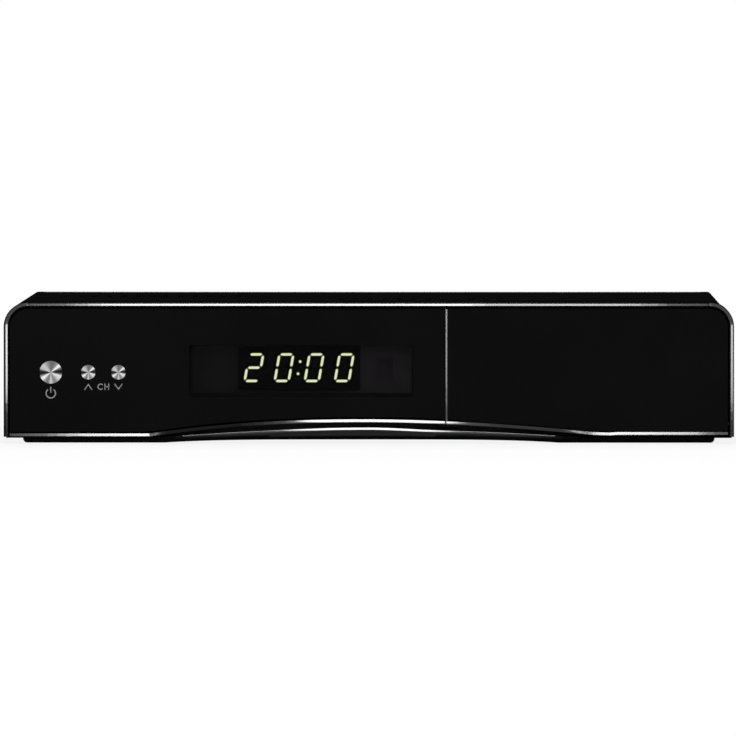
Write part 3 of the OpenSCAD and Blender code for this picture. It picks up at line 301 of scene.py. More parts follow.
def paint_faces(obj, materials, choose):
    """Several materials on one piece: choose(normals, centres) gives each face the number of its
    material. The centres are (x, t, z) in millimetres."""
    mesh = obj.data
    mesh.materials.clear()
    for material in materials:
        mesh.materials.append(material)
    normals, centres = np.zeros(len(mesh.polygons) * 3), np.zeros(len(mesh.polygons) * 3)
    mesh.polygons.foreach_get("normal", normals)
    mesh.polygons.foreach_get("center", centres)
    numbers = choose(normals.reshape(-1, 3), drawn(centres.reshape(-1, 3)))
    mesh.polygons.foreach_set("material_index", np.asarray(numbers).astype(np.int32))
    return obj


print("finish helpers ready")

# %% [markdown]
# Piano-black plastic is nearly black under its gloss. It reflects little when it is seen straight
# on, so its specular level is low, and what shows is a faint unevenness of the moulded sheet.
# The rim and the beads are the same plastic polished harder: they catch the lamps as bright lines.
# Where such a line fades, the faces take the next of five sheens, which mirror less and less.

# %% Finishes of the front
def polished(name, ior):
    """The polished black, whose mirror is as strong as its index of refraction is high."""
    return finish(name, (0.003, 0.003, 0.0035), (0.005, 0.005, 0.0055), 60, (0.11, 0.14), IOR=ior)


gloss_black = finish("gloss_black", 0.0018, 0.0027, 30, (0.05, 0.09), specular=0.03)
rim_black = finish("rim_black", (0.0018, 0.0018, 0.002), (0.003, 0.003, 0.0032), 60, (0.25, 0.32), specular=0)
polished_black = polished("polished_black", 1.58)
sheens = [polished("sheen_" + str(k), ior) for k, ior in enumerate((1.5, 1.42, 1.34, 1.26, 1.2))]
glints = [rim_black, polished_black, *sheens]
# The cove is a lighter grey than the lip's front: painted light in the hollow.
cove_painted_light = finish("cove_painted_light", 0.03, (0.044, 0.043, 0.043), 90, (0.35, 0.42), specular=0.03)
lip_grey = finish("lip_grey", (0.012, 0.012, 0.0122), (0.018, 0.0175, 0.018), 90, (0.35, 0.42), specular=0.03)
print("front finishes", gloss_black.name, lip_grey.name, cove_painted_light.name, *[m.name for m in glints])

# %% [markdown]
# The rim is one moulded bar bent round the front. Its section leans back towards the outside, so
# that it shows a broad bright line from the front. It could be a bevelled curve, but a curve's
# bevel keeps no sharp wall at the back, so the section is carried along the outline as a grid.

# %% Front frame: the rim
LIFT, RIM_W, FRAME_D = 2.8, 2.1, 18.0


def frame_path(corner_steps=20, side_steps=14, top_steps=80):
    """Points and inward directions along the frame's outline, up the left side, round the two
    quarter circles, along the top and down the right side."""
    turn = np.linspace(np.pi, np.pi / 2, corner_steps)
    round_corner = np.stack([np.cos(turn), np.sin(turn)], -1)
    left = np.stack([np.full(side_steps, -HALF_W), np.linspace(LIFT, TOP - CORNER, side_steps)], -1)[:-1]
    top = np.stack([np.linspace(CORNER - HALF_W, 0, top_steps), np.full(top_steps, TOP)], -1)[1:]
    half = np.concatenate([left, [CORNER - HALF_W, TOP - CORNER] + CORNER * round_corner, top])
    inward = np.concatenate([np.tile([1.0, 0.0], (len(left), 1)), -round_corner,
                             np.tile([0.0, -1.0], (len(top), 1))])
    mirror = np.array([-1.0, 1.0])
    return np.concatenate([half, half[-2::-1] * mirror]), np.concatenate([inward, inward[-2::-1] * mirror])


def rim_section(outer, inner):
    """Closed section (inwards, back): an outer round of 63 degrees, a face of 1.15 mm that leans
    back by 27 to 21 degrees and an inner round of 111 degrees, of the given radii, then straight
    walls to the frame's depth."""
    nose = turning_profile([(90, 27), (27, 21), (21, -90)],
                           [outer * math.radians(63), 1.15, inner * math.radians(111)])
    nose[:, 0] *= RIM_W / nose[-1, 0]
    nose[:, 1] -= nose[:, 1].min()
    return np.concatenate([[[0, FRAME_D]], nose, [[RIM_W, FRAME_D]]])


outline, inward = frame_path()
on_top = (inward[:, 1] ** 2)[:, None, None]
on_right = (np.maximum(-inward[:, 0], 0) ** 2)[:, None, None]
section = (on_top * rim_section(0.46, 0.59) + on_right * rim_section(0.7, 0.45)
           + (1 - on_top - on_right) * rim_section(1.19, 0.3))
xz = outline[:, None, :] + inward[:, None, :] * section[..., :1]
rim = rings("front_rim", place(xz[..., 0], section[..., 1], xz[..., 1]), "rim_black", ["front_frame"])


def leaning(normals, centres):
    """The number of a face's glint: zero on most, one on those that lean outwards, towards the
    lamps, and up to six, the weakest, towards the corners and the feet, as a painted fading of the line."""
    x, t, z = centres.T
    lean = np.degrees(np.arccos(np.clip(-normals[:, 1], -1, 1)))
    outwards = (normals[:, 0] * x > 0) & (np.abs(x) > HALF_W - 3) | (normals[:, 2] > 0.01)
    # Weaker sheens along the top and low on the sides: a painted fading of the bright line.
    on_top = 0.9 * step(-x, 104, 134) + 0.5 * step(x, 36, 56) + 0.5 * step(x, 112, 126)
    on_side = np.where(x < 0, step(-z, -21, -12), 0.8 * step(-z, -17, -9))
    highlight_dimming = np.where(np.abs(x) < HALF_W - CORNER, on_top, on_side)
    return np.where((lean > 15) & (lean < 34) & outwards & (t < 2), 1 + np.round(len(sheens) * highlight_dimming), 0)


paint_faces(rim, glints, leaning)
print("rim section", section.shape[1], "points, carried over", len(outline), "stations")

# %% [markdown]
# Flat moulded and pressed pieces come over from the CAD mesh. A copy is merged, its flat areas are
# made one face each, and a small bevel rounds the edges, because no real edge is perfectly sharp.

# %% Refined copies of CAD solids
def refined(node, name, body, slot, bevel, keep=None):
    """A copy of a CAD solid: doubles merged, flat areas joined, edges over 40 degrees bevelled by
    some millimetres. keep says from the (x, t, z) of a face's corners whether the face stays."""
    mesh = nodes[node].data.copy()
    bm = bmesh.new()
    bm.from_mesh(mesh)
    bmesh.ops.remove_doubles(bm, verts=bm.verts, dist=2e-6)
    if keep:
        gone = [f for f in bm.faces if not keep(drawn([v.co for v in f.verts]))]
        bmesh.ops.delete(bm, geom=gone, context="FACES")
    bmesh.ops.dissolve_limit(bm, angle_limit=math.radians(0.4), verts=bm.verts, edges=bm.edges)
    bm.to_mesh(mesh)
    bm.free()
    mesh.materials.clear()
    obj = new_piece(name, mesh, body, slot, [node])
    if bevel:
        rounding = obj.modifiers.new("edge", "BEVEL")
        rounding.width, rounding.segments, rounding.limit_method = bevel * MM, 2, "ANGLE"
        rounding.angle_limit = math.radians(40)
        rounding.harden_normals = True
    return obj


def off_the_rim(corners):
    """False for a face that lies wholly on the rim, which the carried section shows instead: no
    corner is further from the outline than the rim's width."""
    x, z = np.abs(corners[:, 0]), corners[:, 2]
    inset = np.minimum(HALF_W - x, TOP - z)
    bend = (x > HALF_W - CORNER) & (z > TOP - CORNER)
    inset = np.where(bend, CORNER - np.hypot(x - HALF_W + CORNER, z - TOP + CORNER), inset)
    return inset.max() > RIM_W + 0.02


frame_inner = refined("front_frame", "front_frame_inner", "cabinet", "rim_black", 0, off_the_rim)
coat(frame_inner, rim_black)
print("inner frame faces", len(frame_inner.data.polygons))

# %% [markdown]
# The front panel and the flap door are flat gloss plates whose lower edge follows the arch. The
# plates are refined copies without their stepped bead; the bead is a new surface, its section
# carried along the arch, with the seam between panel and door left open as on the real front.

# %% Front panel and door
def behind_face(corners):
    """False for the faces of the stepped bead, which stand in front of the plate."""
    return corners[:, 1].min() > FACE_T - 0.02


for node, body in (("front_panel", "cabinet"), ("door", "door")):
    plate = coat(refined(node, node + "_plate", body, "gloss_black", 0.18, behind_face), gloss_black)
    print(plate.name, "faces", len(plate.data.polygons))

# %% [markdown]
# The bead draws a bright line above the lip, because it leans towards the lamps. On the slopes of
# the arch it leans less and mirrors less, and so the line fades there. The door has a second
# bright line, its free edge along the seam, which leans to the left by 30 degrees.

# %% Beads and the door's free edge
BEAD_H, BEAD_OUT, SUNK = 1.5, 0.48, 0.4
SEAM_EDGE = np.array([(31.52, 0.86), (32.2, 0.47), (32.3, 0.5), (32.3, 1.2), (31.52, 1.2)])


def bead_section():
    """Closed section (height, depth) of the bead: it leans out from the face by 21 to 25 degrees,
    and ends in a small round nose that turns under. Its back is sunk into the plate."""
    out = turning_profile([(0, 25), (25, 21), (21, -90)], [0.12, 1.1, 0.22 * math.radians(111)])
    out[:, 0] *= BEAD_H / out[-1, 0]
    out[:, 1] *= -BEAD_OUT / out[:, 1].min()
    height, depth = BEAD_H - out[:, 0], FACE_T + out[:, 1]
    back = FACE_T + SUNK
    return np.concatenate([[[BEAD_H, back]], np.stack([height, depth], -1), [[0.0, back]]])


def flatter(x):
    """How far the bead loses its lean: fully on the two slopes of the arch, not at all elsewhere."""
    return step(x, -90, -80) * step(-x, 14, 54) + 0.75 * step(x, 18, 60) * step(-x, -92, -72)


def bead_sheen(normals, centres):
    """The number of a face's glint: zero on most, one on those that lean outwards, and more, up to
    a weak one, on the slopes of the arch and at both ends."""
    x = centres[:, 0]
    leans = (normals[:, 2] > 0.08) & (normals[:, 2] < 0.6) & (normals[:, 1] < 0)
    # Weaker sheens on the slopes and at both ends paint the fading of the bright line, together with the
    # bead's flatter lean on the slopes.
    slopes = step(x, -90, -82) * step(-x, 28, 58) + 0.4 * step(x, 30, 60) * step(-x, -92, -74)
    ends = 0.9 * step(-x, 114, 140) + 0.7 * step(x, 133, 142)
    return np.where(leans, 1 + np.round(len(sheens) * (slopes + ends)), 0)


def bead(name, start, end, body, node):
    """The bead's section carried along the arch between two x values, with two rows a millimetre.
    It sits lowest on the left and in the middle, and highest at the right end of the arch."""
    x = np.linspace(start, end, 2 * int(end - start) + 1)[:, None]
    height, depth = bead_section().T[:, None, :]
    depth = FACE_T + (depth - FACE_T) * (1 - 0.5 * flatter(x))
    low = edge(x) - 0.78 + 0.1 * step(-x, 76, 92) + 0.73 * step(x, 90, 104)
    obj = rings(name, place(x, depth, low + height), "gloss_black", [node], body)
    return paint_faces(obj, glints, bead_sheen)


bead("front_panel_bead", -147.4, 31.3, "cabinet", "front_panel")
bead("door_bead", 31.9, 147.4, "door", "door")
seam_z = np.linspace(edge(32.0) + 0.8, TOP - 2.8, 12)[:, None]
seam = rings("door_seam_edge", place(*SEAM_EDGE.T, seam_z), "gloss_black", ["door"], "door")
coat(seam, polished_black)
print("bead section", len(bead_section()), "points, seam edge", len(seam_z), "rows")

# %% [markdown]
# Under the panels runs a lip with a ridge along its front and a hollow behind the ridge. Its
# section changes all along, so it is a grid whose rows are sections worked out at each x.

# %% Lower lip
LIP_HALF, LIP_T, SOFFIT_T = 142.0, 0.9, 7.371
END_R, FOOT_R, CREST_T, CREST_Z = 1.7, 0.8, 0.3, 0.22
TILT, BOW = 0.384, 0.063


def quarter(start, n):
    """A row of n angles over a quarter turn that begins at some degrees."""
    return np.radians(np.linspace(start, start + 90, n))[None, :]


def lip_sections(x):
    """For each x a closed section: flat underside, round foot, upright front, a ridge that leans
    back by 21 to 27 degrees and has a round crest, and a quarter ellipse that hollows up to the
    wall behind. The ends are rounded up from below. The ridge is lower beside the door, which
    swings down past it."""
    x = x[:, None]
    from_end = LIP_HALF - np.abs(x)
    lifted = END_R - np.sqrt(np.maximum(END_R ** 2 - np.maximum(END_R - from_end, 0) ** 2, 0))
    swell = (ridge(x) - ridge(LIP_HALF)) / RIDGE_RISE
    raised = 0.8 * swell * step(-x, -34, 0) * (1 - 0.5 * step(-x, 10, 50))
    low, high, top = underside(x) - 0.42 + lifted, ridge(x) + raised, edge(x) - 0.1
    room = np.minimum(FOOT_R, (high - low) * 0.4)
    lean = 0.1 + 0.85 * swell
    slope = 0.94 - 0.44 * step(np.abs(x), 6, 62)
    shoulder = high - CREST_Z - lean
    back = LIP_T + (TILT + BOW) * lean * slope
    foot, crest, cove = quarter(-90, 6), quarter(0, 5), quarter(0, 16)[:, 1:]
    share = np.linspace(0, 1, 5)[None, :]
    rise = share[:, 1:-1]
    stretches = [
        (SOFFIT_T, low),
        (LIP_T + FOOT_R - FOOT_R * np.cos(foot), low + room * (1 + np.sin(foot))),
        (LIP_T, low + room + (shoulder - low - room) * rise),
        (LIP_T + lean * slope * (TILT * share + BOW * share ** 2), high - CREST_Z - lean * (1 - share)),
        (back + CREST_T - CREST_T * np.cos(crest), high - CREST_Z * (1 - np.sin(crest))),
        (back + CREST_T + (SOFFIT_T - back - CREST_T) * np.sin(cove),
         high + (top - high) * (1 - np.cos(cove)))]
    pairs = [np.broadcast_arrays(*pair) for pair in stretches]
    t, z = (np.concatenate(parts, 1) for parts in zip(*pairs))
    return place(x, t, z)


def lip_zone(normals, centres):
    """The number of a face's finish in the list below: grey for the front, darkened in steps to black
    towards both ends as painted shade, polished on the ridge, black on the turned-under foot as
    painted shade, and a lighter grey in the cove as painted light."""
    x, t, z = centres.T
    grey, polish, black, cove = 0, 1, 2, 3
    crest = (normals[:, 2] > 0.13) & (normals[:, 2] < 0.49) & (normals[:, 1] < 0) & (t < LIP_T + 0.6)
    # Painted shade: the front's grey steps down to black towards both ends.
    shade_step = np.round(5 * step(np.abs(x), 58, 92))
    zone = np.where(shade_step > len(fades), black, np.where(shade_step > 0, cove + shade_step, grey))
    zone = np.where((t > LIP_T + 0.7) & (np.abs(x) < 84), cove, zone)
    zone = np.where(crest & (np.abs(x) < 76), polish, zone)
    # Painted shade: the turned-under foot is black.
    return np.where(z < underside(x) + 1.15, black, zone)


end_x = LIP_HALF - END_R + END_R * np.sin(np.radians(np.linspace(0, 90, 10)))
stations = np.concatenate([-end_x[::-1], np.linspace(-LIP_HALF + END_R, LIP_HALF - END_R, 190)[1:-1], end_x])
lip = rings("lip", lip_sections(stations), "lip_grey", ["lower_lip"], smooth=50)
# Darker copies of the lip's grey, for the painted shade towards the ends.
fades = [finish("lip_painted_shade_" + str(k), 0.012 * share, 0.018 * share, 90, (0.35, 0.42), specular=0.02 * share)
         for k, share in enumerate((0.8, 0.6, 0.4, 0.2))]
paint_faces(lip, [lip_grey, polished_black, rim_black, cove_painted_light, *fades], lip_zone)
print("lip rows", len(stations))

# %% [markdown]
# The window is a flat smoked lens with a tiny polished edge. Outlines stacked from back to front,
# each drawn in by a little more, make such pieces.

# %% Display window
WINDOW = (-27.7, 29.9, 92.0, 21.1)
LENS_STEPS = [(-1.5, 4.0), (-1.5, 3.0), (0, 3.0), (0, 0.62), (0.03, 0.54), (0.12, 0.5)]


def rounded_rectangle(cx, cz, w, h, r):
    """The outline of a rectangle with quarter-circle corners of eight points, as a function of how
    far it is drawn in: the radius shrinks as the sides come in."""
    turn = np.linspace(0, np.pi / 2, 8)
    corner = np.concatenate([turn + k * np.pi / 2 for k in range(4)])
    sx, sz = np.repeat([[1, -1, -1, 1], [1, 1, -1, -1]], 8, axis=1)

    def outline(inset):
        left = max(r - inset, 0.02)
        across, up = w / 2 - inset - left, h / 2 - inset - left
        return cx + sx * across + left * np.cos(corner), cz + sz * up + left * np.sin(corner)
    return outline


def stacked(name, shape, steps, slot, node):
    """A solid from outlines: for each (inset, t) of the steps the shape is drawn in and placed."""
    rows = [place(x, t, z) for inset, t in steps for x, z in [shape(inset)]]
    return rings(name, np.array(rows), slot, [node])


window = stacked("display_lens", rounded_rectangle(*WINDOW, 0.9), LENS_STEPS, "smoked_lens", "display_window")
smoked_lens = finish("smoked_lens", (0.0012, 0.0011, 0.0014), (0.0018, 0.0016, 0.002), 40, (0.03, 0.05),
                     specular=0.022, Alpha=0.63)
coat(window, smoked_lens)
print("lens", [round(v, 4) for v in window.dimensions])

# %% [markdown]
# The clock is four seven-segment digits and a colon. Each segment is a six-cornered bar that
# leans with its digit. A point attribute is one along its middle line and zero on its outline,
# and the finish uses it: hot and pale in the middle, yellow-green at the edge.

# %% Display segments
MODULE_X, DIGIT_Z, SEGMENT_T = -28.65, 31.1, 4.25
DIGIT_H, DIGIT_W, PITCH, SEGMENT_W, GAP, DOT_R = 12.1, 6.9, 12.37, 1.2, 0.32, 0.65
LEAN = math.tan(math.radians(10))
BARS = {"top": ((-1, 2), (1, 2)), "middle": ((-1, 1), (1, 1)), "bottom": ((-1, 0), (1, 0)),
        "upper_left": ((-1, 1), (-1, 2)), "upper_right": ((1, 1), (1, 2)),
        "lower_left": ((-1, 0), (-1, 1)), "lower_right": ((1, 0), (1, 1))}
SHOWN = {"2": ("top", "upper_right", "middle", "lower_left", "bottom"),
         "0": ("top", "upper_left", "upper_right", "lower_left", "lower_right", "bottom")}


def circle(n):
    """Angles of n points spread evenly round a circle."""
    return np.linspace(0, 2 * np.pi, n, endpoint=False)


def bar_points(starts, finals):
    """Eight points a bar: its outline's six corners and the two ends of its middle line."""
    along = (finals - starts) / np.linalg.norm(finals - starts, axis=1, keepdims=True)
    side = np.stack([-along[:, 1], along[:, 0]], -1) * SEGMENT_W / 2
    back, gap = along * SEGMENT_W / 2, along * GAP
    a, b = starts + gap, finals - gap
    corners = [a, a + back + side, b - back + side, b, b - back - side, a + back - side, a + back, b - back]
    return np.stack(corners, 1)


def thicken(obj, thickness):
    """A flat sheet whose faces are all turned to the front, then thickened backwards."""
    bm = bmesh.new()
    bm.from_mesh(obj.data)
    bm.normal_update()
    bmesh.ops.reverse_faces(bm, faces=[f for f in bm.faces if f.normal.y > 0])
    bm.to_mesh(obj.data)
    bm.free()
    solid = obj.modifiers.new("thickness", "SOLIDIFY")
    solid.thickness, solid.offset = thickness * MM, -1


def segment_sheet(name, lit, dots=()):
    """All lit or all unlit bars of the digits, and the colon's dots at the given heights, as one
    sheet with the middle-line attribute."""
    chosen = [(i, BARS[bar]) for i, figure in enumerate("2000") for bar in BARS
              if (bar in SHOWN[figure]) == lit]
    half = np.array([DIGIT_W - SEGMENT_W, DIGIT_H - SEGMENT_W]) / 2
    shift = np.array([[(i - 1.5) * PITCH, 0] for i, _ in chosen])
    starts, finals = (np.array([bar[end] for _, bar in chosen]) * half - [0, half[1]] for end in (0, 1))
    points = bar_points(starts, finals)
    points[..., 0] += points[..., 1] * LEAN
    points = (points + shift[:, None, :]).reshape(-1, 2)
    first = 8 * np.arange(len(chosen))[:, None, None]
    faces = ((first + [[1, 2, 7, 6], [6, 7, 4, 5]]).reshape(-1, 4).tolist()
             + (first + [[0, 1, 6], [0, 6, 5], [2, 3, 7], [3, 4, 7]]).reshape(-1, 3).tolist())
    core = np.tile([0, 0, 0, 0, 0, 0, 1, 1], len(chosen))
    turn = circle(16)
    for z in dots:
        n = len(points)
        dot = np.stack([z * LEAN + DOT_R * np.cos(turn), z + DOT_R * np.sin(turn)], -1)
        points = np.concatenate([points, dot, [[z * LEAN, z]]])
        faces += [[n + k, n + (k + 1) % 16, n + 16] for k in range(16)]
        core = np.concatenate([core, np.zeros(16), [1]])
    obj = make_piece(name, place(MODULE_X + points[:, 0], SEGMENT_T, DIGIT_Z + points[:, 1]), faces,
                     "cabinet", "segment_light", ["display_segments"])
    thicken(obj, 0.14)
    obj.data.attributes.new("core", "FLOAT", "POINT").data.foreach_set("value", core.astype(np.float32))
    return obj


lit = segment_sheet("segments_lit", True, dots=(-2.5, 2.5))
unlit = segment_sheet("segments_unlit", False)
glow, tree, shader = new_material("segment_light", Roughness=0.5, Emission_Strength=5.6)
heat = ramp(tree, add(tree, "Attribute", attribute_name="core"), "Fac",
            [(0.0, (0.20, 0.28, 0.01)), (0.3, (0.66, 0.74, 0.30)), (0.55, (0.98, 1.0, 0.84))])
wire(tree, (heat, "Color", shader, "Base Color"), (heat, "Color", shader, "Emission Color"))
coat(lit, glow)
coat(unlit, finish("segment_off", (0.012, 0.013, 0.008), (0.02, 0.021, 0.014), 900, (0.5, 0.6)))
print("bars lit", len(lit.data.vertices) // 8, "unlit", len(unlit.data.vertices) // 8)

# %% [markdown]
# The three keys carry caps of spun aluminium. Turning on a lathe leaves fine rings, and rings
# spread the light across themselves into bright and dark wedges round a spun disc. The cap
# is a turned profile, and its UV map runs round it. The noise is stretched along that map into
# fine rings, and a ramp round the axis paints those wedges into the base colour: a painted reflection.

# %% Spun caps
BUTTONS = {"power": (-130.6, 9.4), "channel_up": (-115.2, 6.0), "channel_down": (-102.8, 6.0)}
BUTTON_Z = 29.3
# The painted reflection's wedges, as (degrees round the axis, brightness).
PAINTED_FANS = [(0, 0.0), (12, 0.01), (24, 0.20), (33, 1.0), (42, 1.0), (50, 0.34), (72, 0.16), (92, 0.18),
        (112, 0.32), (135, 0.66), (158, 0.56), (168, 0.10), (176, 0.0), (192, 0.02), (204, 0.42),
        (212, 1.0), (221, 1.0), (230, 0.44), (248, 0.16), (262, 0.36), (272, 0.75), (284, 0.28),
        (300, 0.26), (322, 0.72), (340, 0.85), (350, 0.12), (360, 0.0)]


def about(cx, cz, radius, t, turn):
    """Points at a radius and an angle from an axis at (cx, cz) that points to the front."""
    return place(cx + radius * np.cos(turn), t, cz + radius * np.sin(turn))


def turned(name, cx, cz, profile, body, slot, node, steps):
    """A profile of (radius, t) turned round an axis that points to the front, with a UV map whose
    u runs round the axis and whose v is the radius."""
    radius, t = np.array(profile).T[:, :, None]
    points = about(cx, cz, radius, t, circle(steps))
    faces = grid_faces(len(profile), steps)
    sides = 4 * len(faces)
    obj = make_piece(name, points, faces + end_faces(len(profile), steps), body, slot, [node], 30)
    mesh = obj.data
    layer = mesh.uv_layers.new(name="around")
    loops = np.zeros(len(mesh.loops), np.int32)
    mesh.loops.foreach_get("vertex_index", loops)
    u = (loops % steps) / steps
    corner = np.where(np.arange(len(loops)) < sides, np.arange(len(loops)) % 4, 0)
    u = np.where((loops % steps == 0) & ((corner == 1) | (corner == 2)), 1.0, u)
    v = np.repeat(np.array(profile)[:, 0] / max(p[0] for p in profile), steps)[loops]
    layer.data.foreach_set("uv", np.stack([u, v], -1).astype(np.float32).ravel())
    outward(obj)
    return obj


def cap_profile(d):
    """A flat face with a shallow dish, a turned chamfer and a straight side."""
    r = d / 2
    return [(0.02, 0.03), (r * 0.45, 0.02), (r * 0.8, 0.005), (r - 0.12, 0.0), (r, 0.12), (r, 1.2),
            (0.02, 1.2)]


spun, tree, shader = new_material("spun_aluminium", Metallic=1.0, Anisotropic=0.2)
uv, around = add(tree, "UVMap", uv_map="around"), add(tree, "SeparateXYZ")
ringing = noise(tree, 1.0, (3.0, 40.0, 1.0), 2.0, over=(uv, "UV"))
tone = ramp(tree, ringing, "Fac", zip(NOISE_SPAN, (0.84, 1.0)))
# A painted reflection: bright and dark wedges round the axis, put into the base colour.
painted_fans = ramp(tree, around, "X", [(angle / 360, 0.01 + 0.94 * bright) for angle, bright in PAINTED_FANS])
mixed = add(tree, "Mix", {0: 1.0}, data_type="RGBA", blend_type="MULTIPLY")
shine = spread(tree, ringing, "Fac", NOISE_SPAN, (0.14, 0.19))
tangent = add(tree, "Tangent", direction_type="UV_MAP", uv_map="around")
wire(tree, (uv, "UV", around, "Vector"), (painted_fans, "Color", mixed, 6), (tone, "Color", mixed, 7),
     (mixed, 2, shader, "Base Color"), (shine, "Result", shader, "Roughness"),
     (tangent, "Tangent", shader, "Tangent"))
for key, (cx, d) in BUTTONS.items():
    coat(turned(key + "_cap_disc", cx, BUTTON_Z, cap_profile(d), key + "_button", "spun_aluminium",
                key + "_cap", 64), spun)
print("caps", len(BUTTONS))

# %% [markdown]
# Beside the keys the real front carries small grey signs: a power sign, two arrows and the letters
# CH between them. They are strokes of even width printed on the panel, drawn here as ribbons along
# short lines, with a hair of thickness.

# %% Printed signs
def ribbon(points, width):
    """Two rails beside a line: each point is moved sideways by half the width, along the mean of
    its neighbours' normals, and lengthened there so that the stroke keeps its width."""
    points = np.array(points, float)
    along = np.diff(points, axis=0)
    along /= np.linalg.norm(along, axis=1, keepdims=True)
    ahead, behind = np.concatenate([along, along[-1:]]), np.concatenate([along[:1], along])
    mean = ahead + behind
    mean /= np.linalg.norm(mean, axis=1, keepdims=True)
    side = np.stack([-mean[:, 1], mean[:, 0]], -1) / np.sum(mean * ahead, axis=1, keepdims=True)
    return np.stack([points + side * width / 2, points - side * width / 2], 1)


def printed(name, strokes):
    """All strokes of a sign as one sheet on the panel's face, with a hair of thickness."""
    points, faces = np.zeros((0, 2)), []
    for rails in strokes:
        k = np.arange(len(rails) - 1) * 2 + len(points)
        faces += np.stack([k, k + 1, k + 3, k + 2], -1).tolist()
        points = np.concatenate([points, rails.reshape(-1, 2)])
    obj = make_piece(name, place(points[:, 0], FACE_T - 0.012, points[:, 1]), faces, "cabinet", None)
    thicken(obj, 0.03)
    return coat(obj, sign_ink)


def arc(cx, cz, r, start, end):
    """28 points of an arc, in degrees counted from straight up, clockwise."""
    a = np.radians(np.linspace(start, end, 28))
    return np.stack([cx + r * np.sin(a), cz + r * np.cos(a)], -1)


sign_ink = finish("sign_ink", (0.21, 0.21, 0.215), (0.26, 0.26, 0.265), 2500, (0.55, 0.65), specular=0.2)
power_x, up_x, down_x = (BUTTONS[k][0] for k in BUTTONS)
# Each sign is a list of strokes: a line and its width.
SIGNS = {
    "power_sign": [(arc(power_x, 20.64, 1.92, 36, 324), 0.52), ([(power_x, 20.9), (power_x, 23.3)], 0.5)],
    "channel_up_sign": [([(up_x - 1.6, 22.0), (up_x, 24.3), (up_x + 1.6, 22.0)], 0.42)],
    "channel_down_sign": [([(down_x - 1.6, 24.6), (down_x, 22.3), (down_x + 1.6, 24.6)], 0.42)],
    "channel_letters": [(line, 0.44) for line in (
        arc(-110.1, 23.37, 1.1, 132, 408), [(-108.35, 22.05), (-108.35, 24.7)],
        [(-106.85, 22.05), (-106.85, 24.7)], [(-108.35, 23.37), (-106.85, 23.37)])]}
for name, strokes in SIGNS.items():
    printed(name, [ribbon(line, width) for line, width in strokes])
print("signs", *SIGNS)

# %% [markdown]
# The other solids keep their CAD shape or a refined copy of it. Each gets the finish of its real
# material: zinc-plated sheet, powder-coated cover, rubber, moulded plastics, boards and so on.

# %% Finishes of the other pieces
METAL, MATT = {"Metallic": 1.0}, {"specular": 0.0}
# A row is the name, other values, dark and light, scale, roughness, and bump with its grain.
ROWS = [
    ("cover_paint", MATT, (0.0034, 0.0034, 0.0035), (0.0058, 0.0058, 0.006), 900, (0.5, 0.62), 3e-5, 5200),
    # The next row is a light grey for the cover's bevelled edges, a painted highlight.
    ("cover_edge", MATT, (0.08, 0.08, 0.082), (0.11, 0.11, 0.112), 300, (0.5, 0.62)),
    ("zinc_steel", {**METAL, "detail": 6}, (0.44, 0.45, 0.45), (0.58, 0.58, 0.57), 60, (0.28, 0.4),
     4e-6, 900),
    ("inner_plastic", {"specular": 0.3}, (0.012, 0.012, 0.013), (0.02, 0.02, 0.021), 500, (0.45, 0.6),
     2e-5, 3800),
    ("carrier_grey", {}, (0.16, 0.152, 0.152), (0.22, 0.21, 0.21), 120, (0.5, 0.6), 2e-5, 3000),
    ("sensor_purple", {}, (0.32, 0.25, 0.33), (0.40, 0.31, 0.41), 700, (0.15, 0.25)),
    ("foot_rubber", {"specular": 0.25}, 0.01, (0.018, 0.018, 0.017), 700, (0.75, 0.9), 3e-5, 4200),
    ("screw_steel", METAL, (0.50, 0.50, 0.51), (0.64, 0.64, 0.63), 800, (0.22, 0.34), 4e-6, 5000),
    ("magnet_grey", {"Metallic": 0.7}, (0.10, 0.10, 0.105), 0.16, 900, (0.4, 0.55)),
    ("spacer_brass", METAL, (0.62, 0.48, 0.22), (0.74, 0.60, 0.32), 600, (0.22, 0.32)),
    ("board_green", {}, (0.010, 0.07, 0.030), (0.018, 0.11, 0.045), 160, (0.3, 0.42), 1e-5, 1400),
    ("chip_black", {}, (0.012, 0.012, 0.013), 0.022, 1500, (0.5, 0.65), 1e-5, 6000),
    ("capacitor_sleeve", {}, (0.010, 0.014, 0.055), (0.018, 0.024, 0.09), 200, (0.25, 0.35)),
    ("black_anodised", {"stretch": (1, 12, 1), "Metallic": 0.6}, (0.018, 0.018, 0.02), (0.03, 0.03, 0.032),
     300, (0.35, 0.45)),
    ("sink_aluminium", {**METAL, "stretch": (1, 1, 14)}, (0.6, 0.61, 0.62), (0.74, 0.75, 0.76), 300,
     (0.3, 0.42)),
    ("tin_plate", METAL, (0.62, 0.63, 0.63), (0.76, 0.76, 0.75), 120, (0.2, 0.3), 3e-6, 1500),
    ("reader_steel", {**METAL, "stretch": (8, 1, 1)}, (0.40, 0.41, 0.42), 0.52, 140, (0.26, 0.36)),
    ("socket_nickel", METAL, (0.60, 0.58, 0.52), (0.74, 0.72, 0.66), 900, (0.16, 0.24)),
    ("collar_plastic", {}, (0.55, 0.40, 0.02), (0.65, 0.48, 0.03), 600, (0.35, 0.45)),
    ("transformer_tape", {"stretch": (1, 1, 10)}, (0.55, 0.40, 0.08), (0.68, 0.50, 0.12), 260, (0.25, 0.35)),
    ("fuse_glass", {"Metallic": 0.5}, (0.62, 0.63, 0.64), (0.75, 0.76, 0.77), 400, (0.1, 0.2)),
    ("rocker_red", {}, (0.34, 0.012, 0.010), (0.42, 0.018, 0.014), 500, (0.22, 0.3)),
    ("ribbon_white", {"stretch": (14, 1, 1)}, (0.50, 0.50, 0.47), (0.66, 0.66, 0.62), 60, (0.4, 0.5)),
    ("wire_sleeve", {}, (0.13, 0.055, 0.02), (0.19, 0.08, 0.03), 300, (0.35, 0.45))]
PLAIN = {name: finish(name, *values, **others) for name, others, *values in ROWS}


